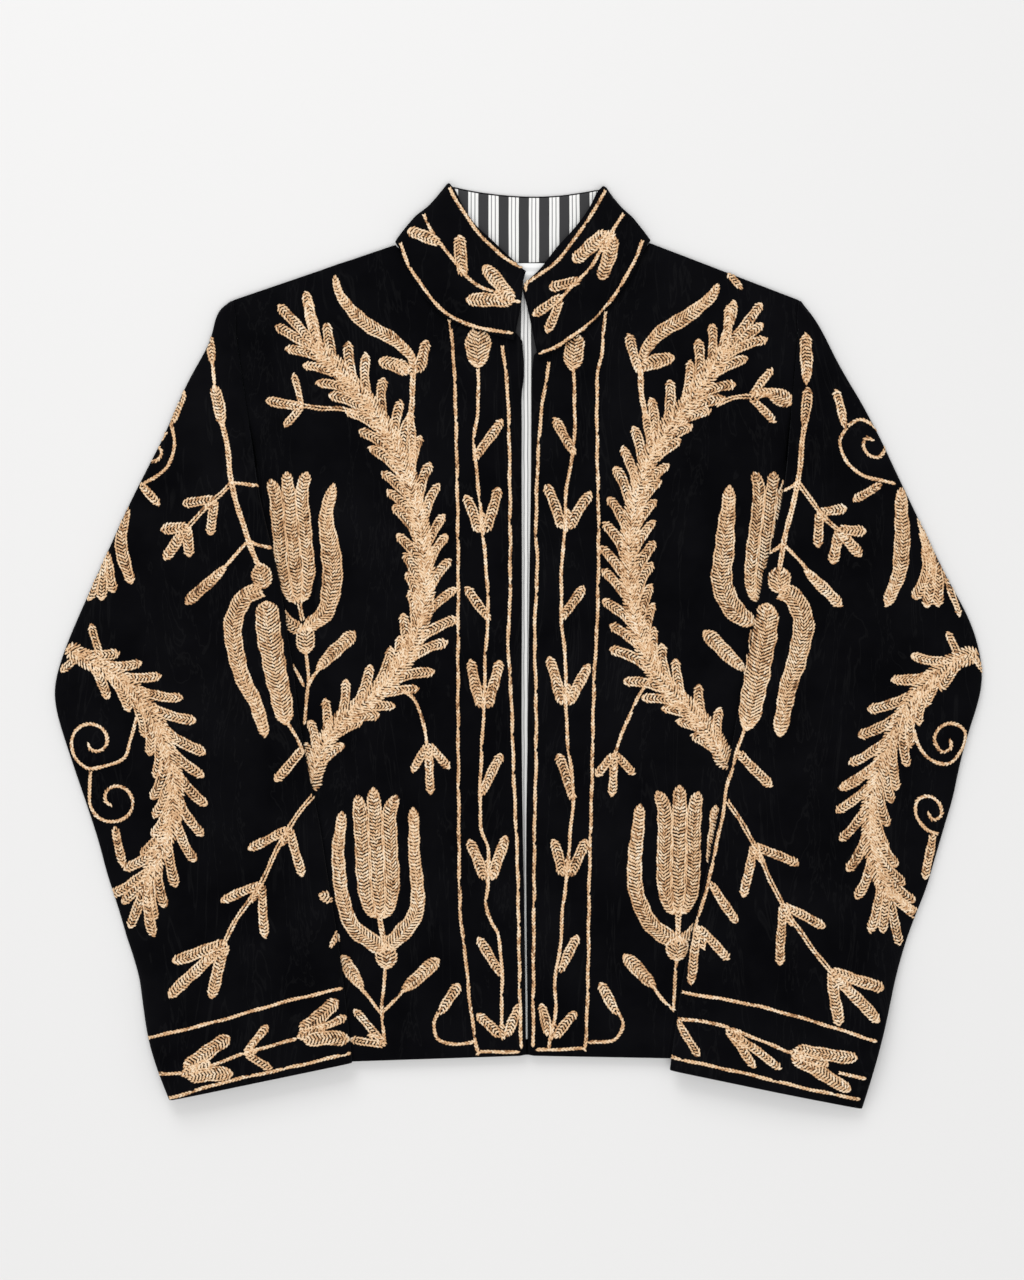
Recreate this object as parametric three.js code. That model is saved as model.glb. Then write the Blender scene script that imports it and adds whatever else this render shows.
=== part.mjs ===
// A velvet jacket with a stand collar and a striped lining, laid flat on its back.
// The fronts lie on the back, the sleeves hang down and lie partly on the fronts, and the collar is folded flat.
// Units are millimetres. +Z is up, +Y points from the hem to the collar, and +X points to the wearer's left,
// so the wearer's right side lies at -X. The origin is on the floor, under the middle of the whole jacket.

import * as THREE from "three";

// Driving dimensions.
const VELVET = 2.0; // thickness of one layer of embroidered velvet
const LINING = 1.0; // thickness of one layer of lining or of the label
const GAP = 0.3; // space left between pieces that are sewn or lie together
const COLLAR_GAP = 0.85; // space between the collar and its own lining, which closes up in the tight folds
const SLEEVE_LOFT = 7.6; // height of a flattened sleeve: two layers and the air between them
const COLLAR_LOFT = 10; // height of the collar where it is folded on itself
const FRONT_UNDERSIDE = 5.0; // height of a front's underside where it lies over back and lining
const HEM_Y = -307.5; // the hem line of fronts and back at the centre
const SEAM_SHIFT = 0.5; // plan distance from an armhole edge to the sleeve sewn to it
const DRAPE_REACH = 42; // how far past the body's edge a sleeve takes to come down to the floor
const DRAPE_LEAD = 21; // how far past that edge it still lies at full height

// Heights that follow from them.
const SEAM_LEVEL = VELVET + GAP; // underside of a front where it is sewn to the back
const LINING_UNDERSIDE = VELVET + GAP;
const LINING_TOP = LINING_UNDERSIDE + LINING;
const SLEEVE_ON_FRONT = FRONT_UNDERSIDE + VELVET + 2 * GAP; // underside of a sleeve that lies on a front

// Mesh density.
const SLEEVE_COLUMNS = 26;
const SLEEVE_ROWS = 32;
const FRONT_COLUMNS = 14;
const FRONT_ROWS = 28;
const BACK_COLUMNS = 18;
const BACK_ROWS = 20;
const LINING_COLUMNS = 12;
const LINING_ROWS = 12;
const COLLAR_COLUMNS = 66;
const COLLAR_ROWS = 5;

// Each sleeve, one row for each section from armhole to cuff: its outer fold and its inner fold.
const SLEEVE_RIGHT = [
  { outerX: -217, outerY: 259.5, innerX: -198, innerY: 131 },
  { outerX: -228, outerY: 250, innerX: -197.3, innerY: 126 },
  { outerX: -232.5, outerY: 230, innerX: -196, innerY: 119.5 },
  { outerX: -250, outerY: 199, innerX: -194.5, innerY: 111 },
  { outerX: -270, outerY: 153, innerX: -190, innerY: 92 },
  { outerX: -292, outerY: 110, innerX: -184, innerY: 67 },
  { outerX: -312, outerY: 66, innerX: -178, innerY: 38 },
  { outerX: -330, outerY: 26, innerX: -173.5, innerY: 5 },
  { outerX: -344, outerY: -8, innerX: -169, innerY: -22 },
  { outerX: -350.5, outerY: -37, innerX: -167, innerY: -43 },
  { outerX: -341.5, outerY: -72, innerX: -164, innerY: -62 },
  { outerX: -328, outerY: -112, innerX: -159, innerY: -92 },
  { outerX: -312.5, outerY: -158, innerX: -150.5, innerY: -130 },
  { outerX: -296, outerY: -205, innerX: -144.5, innerY: -170 },
  { outerX: -285.5, outerY: -250, innerX: -137, innerY: -215 },
  { outerX: -279, outerY: -296, innerX: -131, innerY: -262 },
  { outerX: -263, outerY: -340.5, innerX: -125.5, innerY: -312 },
];
const SLEEVE_LEFT = [
  { outerX: 211, outerY: 259.5, innerX: 200, innerY: 136 },
  { outerX: 224, outerY: 243, innerX: 199, innerY: 128 },
  { outerX: 240, outerY: 211, innerX: 197.5, innerY: 119 },
  { outerX: 261, outerY: 176, innerX: 194, innerY: 100 },
  { outerX: 281, outerY: 134, innerX: 188, innerY: 76 },
  { outerX: 303, outerY: 88, innerX: 181, innerY: 46 },
  { outerX: 322, outerY: 49, innerX: 175.5, innerY: 17 },
  { outerX: 340, outerY: 15, innerX: 169.5, innerY: -9 },
  { outerX: 348, outerY: -25, innerX: 165, innerY: -36 },
  { outerX: 338, outerY: -62, innerX: 161.5, innerY: -58 },
  { outerX: 326, outerY: -100, innerX: 156, innerY: -90 },
  { outerX: 312.5, outerY: -145, innerX: 148, innerY: -127 },
  { outerX: 297.5, outerY: -197, innerX: 139, innerY: -172 },
  { outerX: 282.5, outerY: -247, innerX: 129, innerY: -212 },
  { outerX: 273.5, outerY: -288, innerX: 121.5, innerY: -250 },
  { outerX: 257, outerY: -347.5, innerX: 112, innerY: -317.5 },
];

// Each front, one row for each line from its side to its neckline or centre edge, shoulder first.
// armhole is the share of the sewn armhole at which a row starts; below it the side is given.
const FRONT_RIGHT = [
  { armhole: 0, edgeX: -93.5, edgeY: 301.5 },
  { armhole: 0.25, edgeX: -78.5, edgeY: 282 },
  { armhole: 0.5, edgeX: -64, edgeY: 262 },
  { armhole: 0.75, edgeX: -48, edgeY: 249.5 },
  { armhole: 1, edgeX: -25, edgeY: 240.5 },
  { sideX: -212, sideY: 97, edgeX: -1.5, edgeY: 233 },
  { sideX: -240, sideY: 58, edgeX: 1, edgeY: 192 },
  { sideX: -247, sideY: 20, edgeX: 1.2, edgeY: 125 },
  { sideX: -246, sideY: -40, edgeX: 1.5, edgeY: 40 },
  { sideX: -245, sideY: -110, edgeX: 1.2, edgeY: -60 },
  { sideX: -246.5, sideY: -175, edgeX: 2.3, edgeY: -150 },
  { sideX: -248, sideY: -240, edgeX: 3.7, edgeY: -228 },
  { sideX: -250, sideY: -316, edgeX: 4.5, edgeY: HEM_Y },
];
const FRONT_LEFT = [
  { armhole: 0, edgeX: 97, edgeY: 303 },
  { armhole: 0.25, edgeX: 84, edgeY: 283.5 },
  { armhole: 0.5, edgeX: 71.5, edgeY: 265 },
  { armhole: 0.75, edgeX: 56, edgeY: 249 },
  { armhole: 1, edgeX: 35, edgeY: 233 },
  { sideX: 212, sideY: 98, edgeX: 12, edgeY: 221.5 },
  { sideX: 236, sideY: 60, edgeX: 9, edgeY: 190 },
  { sideX: 243, sideY: 20, edgeX: 8.2, edgeY: 125 },
  { sideX: 243, sideY: -40, edgeX: 6.9, edgeY: 40 },
  { sideX: 243, sideY: -110, edgeX: 6, edgeY: -50 },
  { sideX: 244, sideY: -175, edgeX: 4.6, edgeY: -145 },
  { sideX: 246, sideY: -240, edgeX: 5, edgeY: -228 },
  { sideX: 248, sideY: -312, edgeX: 6.2, edgeY: HEM_Y },
];
const ARMHOLE_END = 4 / 12; // share of a front's rows where the sewn armhole ends
const UNDERARM = 6 / 12; // share of a front's rows where its side seam starts

// The collar, one row for each section from the wearer's right front end, round the back, to the left front end.
// level is 1 in the layer that faces up, 0 in the layer on the floor and 0.5 at a fold.
// bare is the share of the band's height that its lining leaves free at the neck seam.
const COLLAR = [
  { seamX: -4.5, seamY: 229.5, edgeX: 6, edgeY: 280, level: 1, bare: 0.17 },
  { seamX: -28.5, seamY: 236.5, edgeX: -9, edgeY: 288.5, level: 1, bare: 0.17 },
  { seamX: -52.5, seamY: 244.5, edgeX: -24.5, edgeY: 302, level: 1, bare: 0.17 },
  { seamX: -68.5, seamY: 258, edgeX: -37.5, edgeY: 314.5, level: 1, bare: 0.17 },
  { seamX: -82, seamY: 278.5, edgeX: -47.5, edgeY: 330, level: 1, bare: 0.17 },
  { seamX: -88.5, seamY: 297, edgeX: -52.5, edgeY: 341.5, level: 0.97, bare: 0.16 },
  { seamX: -91.5, seamY: 303, edgeX: -55, edgeY: 347, level: 0.5, bare: 0.1 },
  { seamX: -86, seamY: 300.5, edgeX: -50.5, edgeY: 345.5, level: 0.03, bare: 0.05 },
  { seamX: -67.5, seamY: 295, edgeX: -37.5, edgeY: 342.5, level: 0, bare: 0.03 },
  { seamX: -34, seamY: 289, edgeX: -17, edgeY: 339.5, level: 0, bare: 0.03 },
  { seamX: 1.5, seamY: 286.5, edgeX: 5, edgeY: 338, level: 0, bare: 0.03 },
  { seamX: 37.5, seamY: 289, edgeX: 27, edgeY: 338.5, level: 0, bare: 0.03 },
  { seamX: 69, seamY: 295, edgeX: 46.5, edgeY: 341, level: 0, bare: 0.03 },
  { seamX: 89.5, seamY: 301.5, edgeX: 60.5, edgeY: 343.5, level: 0.03, bare: 0.05 },
  { seamX: 95, seamY: 304, edgeX: 65, edgeY: 344.5, level: 0.5, bare: 0.1 },
  { seamX: 92.5, seamY: 299, edgeX: 62, edgeY: 339, level: 0.97, bare: 0.16 },
  { seamX: 87.5, seamY: 284.5, edgeX: 55.5, edgeY: 326, level: 1, bare: 0.17 },
  { seamX: 75.5, seamY: 266, edgeX: 44.5, edgeY: 311, level: 1, bare: 0.17 },
  { seamX: 60, seamY: 249, edgeX: 31, edgeY: 296, level: 1, bare: 0.17 },
  { seamX: 38, seamY: 229, edgeX: 18, edgeY: 279.5, level: 1, bare: 0.17 },
  { seamX: 13.5, seamY: 215.5, edgeX: 3, edgeY: 267, level: 1, bare: 0.17 },
];
const COLLAR_LINING_EDGE = 0.975; // share of the height where the lining ends under the top edge
const COLLAR_LINING_TUCK = 0.012; // share of the collar's length that the lining leaves free at each end

// The upper edge of the back, from shoulder point to shoulder point by way of the back neck.
const BACK_TOP = [
  { x: -160, y: 278.5 },
  { x: -95, y: 300.5 },
  { x: -84, y: 296.5 },
  { x: -67.5, y: 292.5 },
  { x: -34, y: 287 },
  { x: 1.5, y: 284.5 },
  { x: 37.5, y: 287 },
  { x: 69, y: 292.5 },
  { x: 88, y: 297 },
  { x: 98.5, y: 301.5 },
  { x: 155, y: 280.3 },
];
// The upper edge of the back's lining, which stays clear of the shoulder seams.
const LINING_TOP_EDGE = [
  { x: -203, y: 232 },
  { x: -97, y: 278 },
  { x: -67.5, y: 292 },
  { x: -34, y: 286.5 },
  { x: 1.5, y: 284 },
  { x: 37.5, y: 286.5 },
  { x: 69, y: 292 },
  { x: 100, y: 279 },
  { x: 189, y: 236 },
];
const LINING_SIDE_INSET = 20;
const LINING_HEM_INSET = 12;

const LABEL = { x: 9, y: 279.5, width: 42, height: 16 };

// The largest folds, one row each: a soft ridge from one point to another.
const FOLDS = [
  { piece: "front_right", fromX: -196, fromY: 244, toX: -189, toY: 150, width: 7, height: 2.0 },
  { piece: "front_right", fromX: -150, fromY: 262, toX: -185, toY: 205, width: 9, height: 1.0 },
  { piece: "front_left", fromX: 190, fromY: 252, toX: 184, toY: 165, width: 7, height: 2.4 },
  { piece: "front_left", fromX: 108, fromY: 288, toX: 168, toY: 262, width: 8, height: 1.4 },
  { piece: "sleeve_right", fromX: -338, fromY: -44, toX: -248, toY: -62, width: 10, height: 2.2 },
  { piece: "sleeve_right", fromX: -222, fromY: 214, toX: -228, toY: 120, width: 9, height: 2.2 },
  { piece: "sleeve_right", fromX: -292, fromY: -222, toX: -228, toY: -206, width: 8, height: 1.6 },
  { piece: "sleeve_left", fromX: 336, fromY: -34, toX: 252, toY: -52, width: 10, height: 2.2 },
  { piece: "sleeve_left", fromX: 221, fromY: 224, toX: 236, toY: 120, width: 9, height: 2.2 },
  { piece: "sleeve_left", fromX: 284, fromY: -232, toX: 226, toY: -214, width: 8, height: 1.6 },
];

// Colours and finishes.
const velvet = new THREE.MeshStandardMaterial({ color: 0x0d0d10, roughness: 0.95, metalness: 0 });
const stripedCotton = new THREE.MeshStandardMaterial({ color: 0x8a8a8c, roughness: 0.8, metalness: 0 });
const whiteTape = new THREE.MeshStandardMaterial({ color: 0xe8e8e6, roughness: 0.7, metalness: 0 });

// 0 below low, 1 above high, and a smooth rise between them.
const rise = (x, low, high) => THREE.MathUtils.smoothstep(x, low, high);

// A smooth line through the points that two columns of a table give, and a third where heights are given.
function rail(rows, columnX, columnY, columnZ) {
  const points = rows.map((r) => new THREE.Vector3(r[columnX], r[columnY], columnZ ? r[columnZ] : 0));
  return new THREE.CatmullRomCurve3(points, false, "centripetal");
}

// A column's value at u along the rows.
function valueAlong(rows, column, u) {
  const at = u * (rows.length - 1);
  const i = Math.min(Math.floor(at), rows.length - 2);
  return THREE.MathUtils.lerp(rows[i][column], rows[i + 1][column], at - i);
}

// Height of the folds of one piece over a point of the plan.
function foldHeight(piece, x, y) {
  let height = 0;
  for (const f of FOLDS.filter((row) => row.piece === piece)) {
    const along = new THREE.Vector2(f.toX - f.fromX, f.toY - f.fromY);
    const length = along.length();
    along.normalize();
    const offset = new THREE.Vector2(x - f.fromX, y - f.fromY);
    const at = offset.dot(along);
    const aside = offset.cross(along);
    const taper = Math.exp(-(((at - length / 2) / (length / 2)) ** 4));
    height += f.height * taper * Math.exp(-((aside / f.width) ** 2));
  }
  return height;
}

// The sleeve's edge that is sewn to the armhole, from the shoulder point to where the sleeve folds over the front.
function armholePoint(sleeveRows, share, shift) {
  const { outerX, outerY, innerX, innerY } = sleeveRows[0];
  const inward = -Math.sign(outerX) * shift;
  return {
    x: THREE.MathUtils.lerp(outerX, innerX, share) + inward,
    y: THREE.MathUtils.lerp(outerY, innerY, share),
  };
}

// A front's rows with their side points filled in along the armhole.
function completeFront(frontRows, sleeveRows) {
  return frontRows.map((row) => {
    if (row.armhole === undefined) return row;
    const { x, y } = armholePoint(sleeveRows, row.armhole, SEAM_SHIFT);
    return { ...row, sideX: x, sideY: y };
  });
}
const frontRightRows = completeFront(FRONT_RIGHT, SLEEVE_RIGHT);
const frontLeftRows = completeFront(FRONT_LEFT, SLEEVE_LEFT);

// The outline of the body that lies under a sleeve: from the armhole's end down the side and along the hem.
function outlineUnderSleeve(frontRows) {
  const side = rail(frontRows, "sideX", "sideY");
  const points = [];
  const steps = 40;
  for (let i = 0; i <= steps; i++) {
    const p = side.getPoint(THREE.MathUtils.lerp(ARMHOLE_END, 1, i / steps));
    points.push(new THREE.Vector2(Math.abs(p.x), p.y));
  }
  points.push(new THREE.Vector2(0, HEM_Y));
  return points;
}

// How far a point of the plan is inside that outline; negative outside it.
function depthInside(outline, x, y) {
  const p = new THREE.Vector2(Math.abs(x), y);
  let nearest = Infinity;
  let edgeX = 0;
  for (let i = 1; i < outline.length; i++) {
    const a = outline[i - 1];
    const b = outline[i];
    const ab = b.clone().sub(a);
    const t = THREE.MathUtils.clamp(p.clone().sub(a).dot(ab) / ab.lengthSq(), 0, 1);
    nearest = Math.min(nearest, p.distanceTo(a.clone().addScaledVector(ab, t)));
    if (a.y >= y && b.y < y) edgeX = a.x;
  }
  const inside = y < outline[0].y && y > HEM_Y && p.x < edgeX;
  return inside ? nearest : -nearest;
}

// Height of the floor or cloth that a sleeve lies on.
function restHeight(outline, x, y) {
  return SLEEVE_ON_FRONT * rise(depthInside(outline, x, y), -DRAPE_REACH, -DRAPE_LEAD);
}

// A cloth wall between two surfaces of u and v, each from 0 to 1. A tube joins its last column to its first.
function clothWall(outside, inside, columns, rows, tube = false) {
  const across = tube ? columns : columns + 1;
  const positions = [];
  for (const surface of [outside, inside])
    for (let j = 0; j <= rows; j++)
      for (let i = 0; i < across; i++) positions.push(...surface(i / columns, j / rows).toArray());
  const layer = across * (rows + 1);
  const at = (side, i, j) => side * layer + j * across + (i % across);
  const index = [];
  const quad = (a, b, c, d) => index.push(a, b, c, a, c, d);
  for (let j = 0; j < rows; j++)
    for (let i = 0; i < columns; i++) {
      quad(at(0, i, j), at(0, i + 1, j), at(0, i + 1, j + 1), at(0, i, j + 1));
      quad(at(1, i, j), at(1, i, j + 1), at(1, i + 1, j + 1), at(1, i + 1, j));
    }
  for (let i = 0; i < columns; i++) {
    quad(at(0, i, 0), at(1, i, 0), at(1, i + 1, 0), at(0, i + 1, 0));
    quad(at(0, i, rows), at(0, i + 1, rows), at(1, i + 1, rows), at(1, i, rows));
  }
  if (!tube)
    for (let j = 0; j < rows; j++) {
      quad(at(0, 0, j), at(0, 0, j + 1), at(1, 0, j + 1), at(1, 0, j));
      quad(at(0, columns, j), at(1, columns, j), at(1, columns, j + 1), at(0, columns, j + 1));
    }
  const geometry = new THREE.BufferGeometry();
  geometry.setAttribute("position", new THREE.Float32BufferAttribute(positions, 3));
  geometry.setIndex(signedVolume(positions, index) < 0 ? index.reverse() : index);
  geometry.computeVertexNormals();
  return geometry;
}

function signedVolume(positions, index) {
  const corner = (k) => new THREE.Vector3().fromArray(positions, 3 * index[k]);
  let six = 0;
  for (let k = 0; k < index.length; k += 3) six += corner(k).dot(corner(k + 1).cross(corner(k + 2)));
  return six / 6;
}

// A flattened sleeve. u runs round it, over the upper layer and back under it, and v from armhole to cuff.
function sleeveGeometry(piece, sleeveRows, frontRows) {
  const outer = rail(sleeveRows, "outerX", "outerY");
  const inner = rail(sleeveRows, "innerX", "innerY");
  const outline = outlineUnderSleeve(frontRows);
  const squareness = 5; // how soon the layers part at the two folds
  const surface = (inset) => (u, v) => {
    const upper = u <= 0.5;
    const lap = upper ? 2 * u : 2 - 2 * u;
    const across = 0.5 - 0.5 * Math.cos(Math.PI * lap);
    const bulge = (1 - Math.abs(2 * across - 1) ** squareness) ** (1 / squareness);
    const a = outer.getPoint(v);
    const b = inner.getPoint(v);
    const trim = inset / a.distanceTo(b);
    const p = a.clone().lerp(b, THREE.MathUtils.lerp(trim, 1 - trim, across));
    const half = SLEEVE_LOFT / 2 - inset;
    p.z = restHeight(outline, p.x, p.y) + SLEEVE_LOFT / 2 + (upper ? half : -half) * bulge;
    if (upper) p.z += foldHeight(piece, p.x, p.y) * bulge;
    return p;
  };
  return clothWall(surface(0), surface(VELVET), SLEEVE_COLUMNS, SLEEVE_ROWS, true);
}

// A front. u runs from its side to its neckline and centre edge, and v from shoulder to hem.
function frontGeometry(piece, frontRows) {
  const side = rail(frontRows, "sideX", "sideY");
  const edge = rail(frontRows, "edgeX", "edgeY");
  const surface = (thickness) => (u, v) => {
    const p = side.getPoint(v).lerp(edge.getPoint(v), u);
    const fromShoulder = rise(v, 0, 0.09);
    const fromSide = THREE.MathUtils.lerp(1, rise(u, 0, 0.12), rise(v, ARMHOLE_END, UNDERARM));
    const lift = fromShoulder * fromSide;
    p.z = THREE.MathUtils.lerp(SEAM_LEVEL, FRONT_UNDERSIDE, lift) + foldHeight(piece, p.x, p.y) * lift + thickness;
    return p;
  };
  return clothWall(surface(VELVET), surface(0), FRONT_COLUMNS, FRONT_ROWS);
}

// A panel that fills four edges, at an even height and thickness.
function flatPanelGeometry({ top, bottom, left, right }, underside, thickness, columns, rows) {
  const surface = (z) => (u, v) => {
    const p = top.getPoint(u).lerp(bottom.getPoint(u), v);
    p.add(left.getPoint(v).lerp(right.getPoint(v), u));
    const corners = top.getPoint(0).lerp(top.getPoint(1), u);
    corners.lerp(bottom.getPoint(0).lerp(bottom.getPoint(1), u), v);
    p.sub(corners);
    p.z = z;
    return p;
  };
  return clothWall(surface(underside + thickness), surface(underside), columns, rows);
}

function line(...points) {
  return new THREE.CatmullRomCurve3(
    points.map(([x, y]) => new THREE.Vector3(x, y, 0)),
    false,
    "centripetal",
  );
}

function backGeometry() {
  const left = rail(frontRightRows, "sideX", "sideY");
  const right = rail(frontLeftRows, "sideX", "sideY");
  const start = left.getPoint(0);
  const end = right.getPoint(0);
  const top = line([start.x, start.y], ...BACK_TOP.map((p) => [p.x, p.y]), [end.x, end.y]);
  const low = [left.getPoint(1), right.getPoint(1)];
  const bottom = line([low[0].x, low[0].y], [0, HEM_Y], [low[1].x, low[1].y]);
  return flatPanelGeometry({ top, bottom, left, right }, 0, VELVET, BACK_COLUMNS, BACK_ROWS);
}

function backLiningGeometry() {
  const hem = HEM_Y + LINING_HEM_INSET;
  const first = LINING_TOP_EDGE[0];
  const last = LINING_TOP_EDGE[LINING_TOP_EDGE.length - 1];
  // The side points of the front below the armhole, moved in.
  const insetSide = (rows) =>
    rows
      .filter((row) => row.armhole === undefined && row.sideY > hem)
      .map((row) => [row.sideX - Math.sign(row.sideX) * LINING_SIDE_INSET, row.sideY]);
  const sideRight = insetSide(FRONT_RIGHT);
  const sideLeft = insetSide(FRONT_LEFT);
  const left = line([first.x, first.y], [-182, 131], ...sideRight, [sideRight.at(-1)[0], hem]);
  const right = line([last.x, last.y], [182, 136], ...sideLeft, [sideLeft.at(-1)[0], hem]);
  const top = line(...LINING_TOP_EDGE.map((p) => [p.x, p.y]));
  const bottom = line([sideRight.at(-1)[0], hem], [0, hem], [sideLeft.at(-1)[0], hem]);
  return flatPanelGeometry({ top, bottom, left, right }, LINING_UNDERSIDE, LINING, LINING_COLUMNS, LINING_ROWS);
}

// The collar's outer face. u runs along the band and v from the neck seam to the top edge.
const collarRows = COLLAR.map((row) => ({ ...row, z: COLLAR_LOFT * row.level }));
const collarSeam = rail(collarRows, "seamX", "seamY", "z");
const collarEdge = rail(collarRows, "edgeX", "edgeY", "z");
function collarFace(u, v) {
  const p = collarSeam.getPoint(u).lerp(collarEdge.getPoint(u), v);
  p.z = THREE.MathUtils.clamp(p.z, 0, COLLAR_LOFT);
  return p;
}

// The same face moved in towards the neck.
function collarFaceInside(depth) {
  const step = 1e-3;
  return (u, v) => {
    const along = collarFace(Math.min(u + step, 1), v).sub(collarFace(Math.max(u - step, 0), v));
    const up = collarFace(u, Math.min(v + step, 1)).sub(collarFace(u, Math.max(v - step, 0)));
    const inward = along.cross(up).normalize();
    return collarFace(u, v).addScaledVector(inward, depth);
  };
}

function collarGeometry() {
  return clothWall(collarFace, collarFaceInside(VELVET), COLLAR_COLUMNS, COLLAR_ROWS);
}

function collarLiningGeometry() {
  const within = (depth) => (u, v) => {
    const along = THREE.MathUtils.clamp(u, COLLAR_LINING_TUCK, 1 - COLLAR_LINING_TUCK);
    const seam = valueAlong(COLLAR, "bare", along);
    return collarFaceInside(depth)(along, THREE.MathUtils.lerp(seam, COLLAR_LINING_EDGE, v));
  };
  return clothWall(within(VELVET + COLLAR_GAP), within(VELVET + COLLAR_GAP + LINING), COLLAR_COLUMNS, COLLAR_ROWS);
}

function labelGeometry() {
  const geometry = new THREE.BoxGeometry(LABEL.width, LABEL.height, LINING);
  geometry.translate(LABEL.x, LABEL.y, LINING_TOP + GAP + LINING / 2);
  return geometry;
}

function piece(name, geometry, material) {
  const mesh = new THREE.Mesh(geometry, material);
  mesh.name = name;
  return mesh;
}

const jacket = new THREE.Group();
jacket.add(
  piece("back", backGeometry(), velvet),
  piece("back_lining", backLiningGeometry(), stripedCotton),
  piece("front_right", frontGeometry("front_right", frontRightRows), velvet),
  piece("front_left", frontGeometry("front_left", frontLeftRows), velvet),
  piece("sleeve_right", sleeveGeometry("sleeve_right", SLEEVE_RIGHT, frontRightRows), velvet),
  piece("sleeve_left", sleeveGeometry("sleeve_left", SLEEVE_LEFT, frontLeftRows), velvet),
  piece("collar", collarGeometry(), velvet),
  piece("collar_lining", collarLiningGeometry(), stripedCotton),
  piece("neck_label", labelGeometry(), whiteTape),
);

export default jacket;
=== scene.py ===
import math
import random

import bpy
import numpy as np
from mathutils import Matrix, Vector
from mathutils.bvhtree import BVHTree


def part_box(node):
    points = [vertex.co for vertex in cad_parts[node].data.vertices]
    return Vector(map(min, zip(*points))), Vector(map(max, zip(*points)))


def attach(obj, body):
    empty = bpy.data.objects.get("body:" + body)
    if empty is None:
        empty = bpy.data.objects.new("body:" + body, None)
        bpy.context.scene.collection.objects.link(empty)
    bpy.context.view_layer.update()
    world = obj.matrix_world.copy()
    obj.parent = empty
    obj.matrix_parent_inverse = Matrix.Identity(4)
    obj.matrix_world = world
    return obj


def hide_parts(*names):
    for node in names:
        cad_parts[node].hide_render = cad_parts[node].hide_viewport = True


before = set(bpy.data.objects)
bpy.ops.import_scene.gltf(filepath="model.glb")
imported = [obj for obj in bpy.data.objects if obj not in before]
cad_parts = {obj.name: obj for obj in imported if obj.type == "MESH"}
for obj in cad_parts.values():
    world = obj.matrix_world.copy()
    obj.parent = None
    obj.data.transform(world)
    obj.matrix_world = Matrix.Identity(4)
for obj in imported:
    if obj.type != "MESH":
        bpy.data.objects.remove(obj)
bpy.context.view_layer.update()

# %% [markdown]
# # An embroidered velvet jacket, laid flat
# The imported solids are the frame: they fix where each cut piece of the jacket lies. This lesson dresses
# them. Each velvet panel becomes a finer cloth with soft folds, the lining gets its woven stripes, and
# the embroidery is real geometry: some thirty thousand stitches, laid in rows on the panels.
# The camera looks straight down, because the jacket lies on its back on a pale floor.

MM = 0.001
scene = bpy.context.scene


def linear(hex_colour):
    """An sRGB hex colour as the linear numbers that a shader wants."""
    channels = [int(hex_colour[i : i + 2], 16) / 255 for i in (1, 3, 5)]
    return [c / 12.92 if c <= 0.04045 else ((c + 0.055) / 1.055) ** 2.4 for c in channels] + [1.0]


def add_node(tree, kind, settings=None, links=None):
    """Adds a shader node, sets its properties and sockets, and links its inputs."""
    node = tree.nodes.new(kind)
    for name, value in (settings or {}).items():
        if isinstance(name, str) and hasattr(node, name):
            setattr(node, name, value)
        else:
            node.inputs[name].default_value = value
    for socket, source in (links or {}).items():
        tree.links.new(source, node.inputs[socket])
    return node


def new_material(name):
    """An empty material, its node tree and its Principled shader."""
    material = bpy.data.materials.new(name)
    material.use_nodes = True
    tree = material.node_tree
    return material, tree, tree.nodes["Principled BSDF"]


def set_look(shader, values):
    """Sets constants straight on a shader's sockets."""
    for socket, value in values.items():
        shader.inputs[socket].default_value = value


def colour_stops(ramp, stops, interpolation="LINEAR"):
    """Sets a Color Ramp's stops from rows of a position and a hex colour."""
    elements = ramp.color_ramp.elements
    ramp.color_ramp.interpolation = interpolation
    while len(elements) < len(stops):
        elements.new(1.0)
    for element, (position, colour) in zip(elements, stops):
        element.position = position
        element.color = linear(colour)


def select_only(piece):
    """Deselects everything else, because an operator acts on all that is selected."""
    bpy.ops.object.select_all(action="DESELECT")
    piece.select_set(True)
    bpy.context.view_layer.objects.active = piece


# %% [markdown]
# ## The camera, the floor and the light
# Flat clothes are looked at from straight above through a long lens, so that nothing leans. An 85 mm
# lens two and a quarter metres up shows 960 mm of floor from top to bottom. One wide lamp past the
# collar and one overhead give soft light, as windows in a white room do.

# %% Camera straight above the jacket
LENS, SENSOR = 85.0, 36.0
SHOWN_LENGTH = 960.0  # mm of floor from the frame's top to its bottom
VIEW_CENTRE = (-6.0, 4.5)  # mm
CLOTH_HEIGHT = 8.0  # mm above the floor, where most of the upper cloth lies
camera_data = bpy.data.cameras.new("overhead_camera")
camera_data.lens, camera_data.sensor_width = LENS, SENSOR
camera_data.clip_start, camera_data.clip_end = 0.1, 20
camera = bpy.data.objects.new("overhead_camera", camera_data)
scene.collection.objects.link(camera)
camera_height = SHOWN_LENGTH * LENS / SENSOR + CLOTH_HEIGHT
camera.location = (VIEW_CENTRE[0] * MM, VIEW_CENTRE[1] * MM, camera_height * MM)
scene.camera = camera
print("camera height in mm:", round(camera_height))

# %% Pale floor
bpy.ops.object.select_all(action="DESELECT")
FLOOR_SIZE = 8  # m
FLOOR_GAP = 0.4  # mm under the cloth, so that the two faces never share one place
bpy.ops.mesh.primitive_plane_add(size=FLOOR_SIZE, location=(0, 0, -FLOOR_GAP * MM))
floor = bpy.context.active_object
floor.name = "floor"
bpy.ops.object.transform_apply(location=True, rotation=True, scale=True)
# Matt paper spreads the light evenly and shows only soft shadows.
paper, tree, shader = new_material("matt_white_paper")
set_look(shader, {"Base Color": linear("#dfdfdf"), "Roughness": 0.9})
floor.data.materials.append(paper)
print("floor in m:", list(floor.dimensions)[:2])

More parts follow.
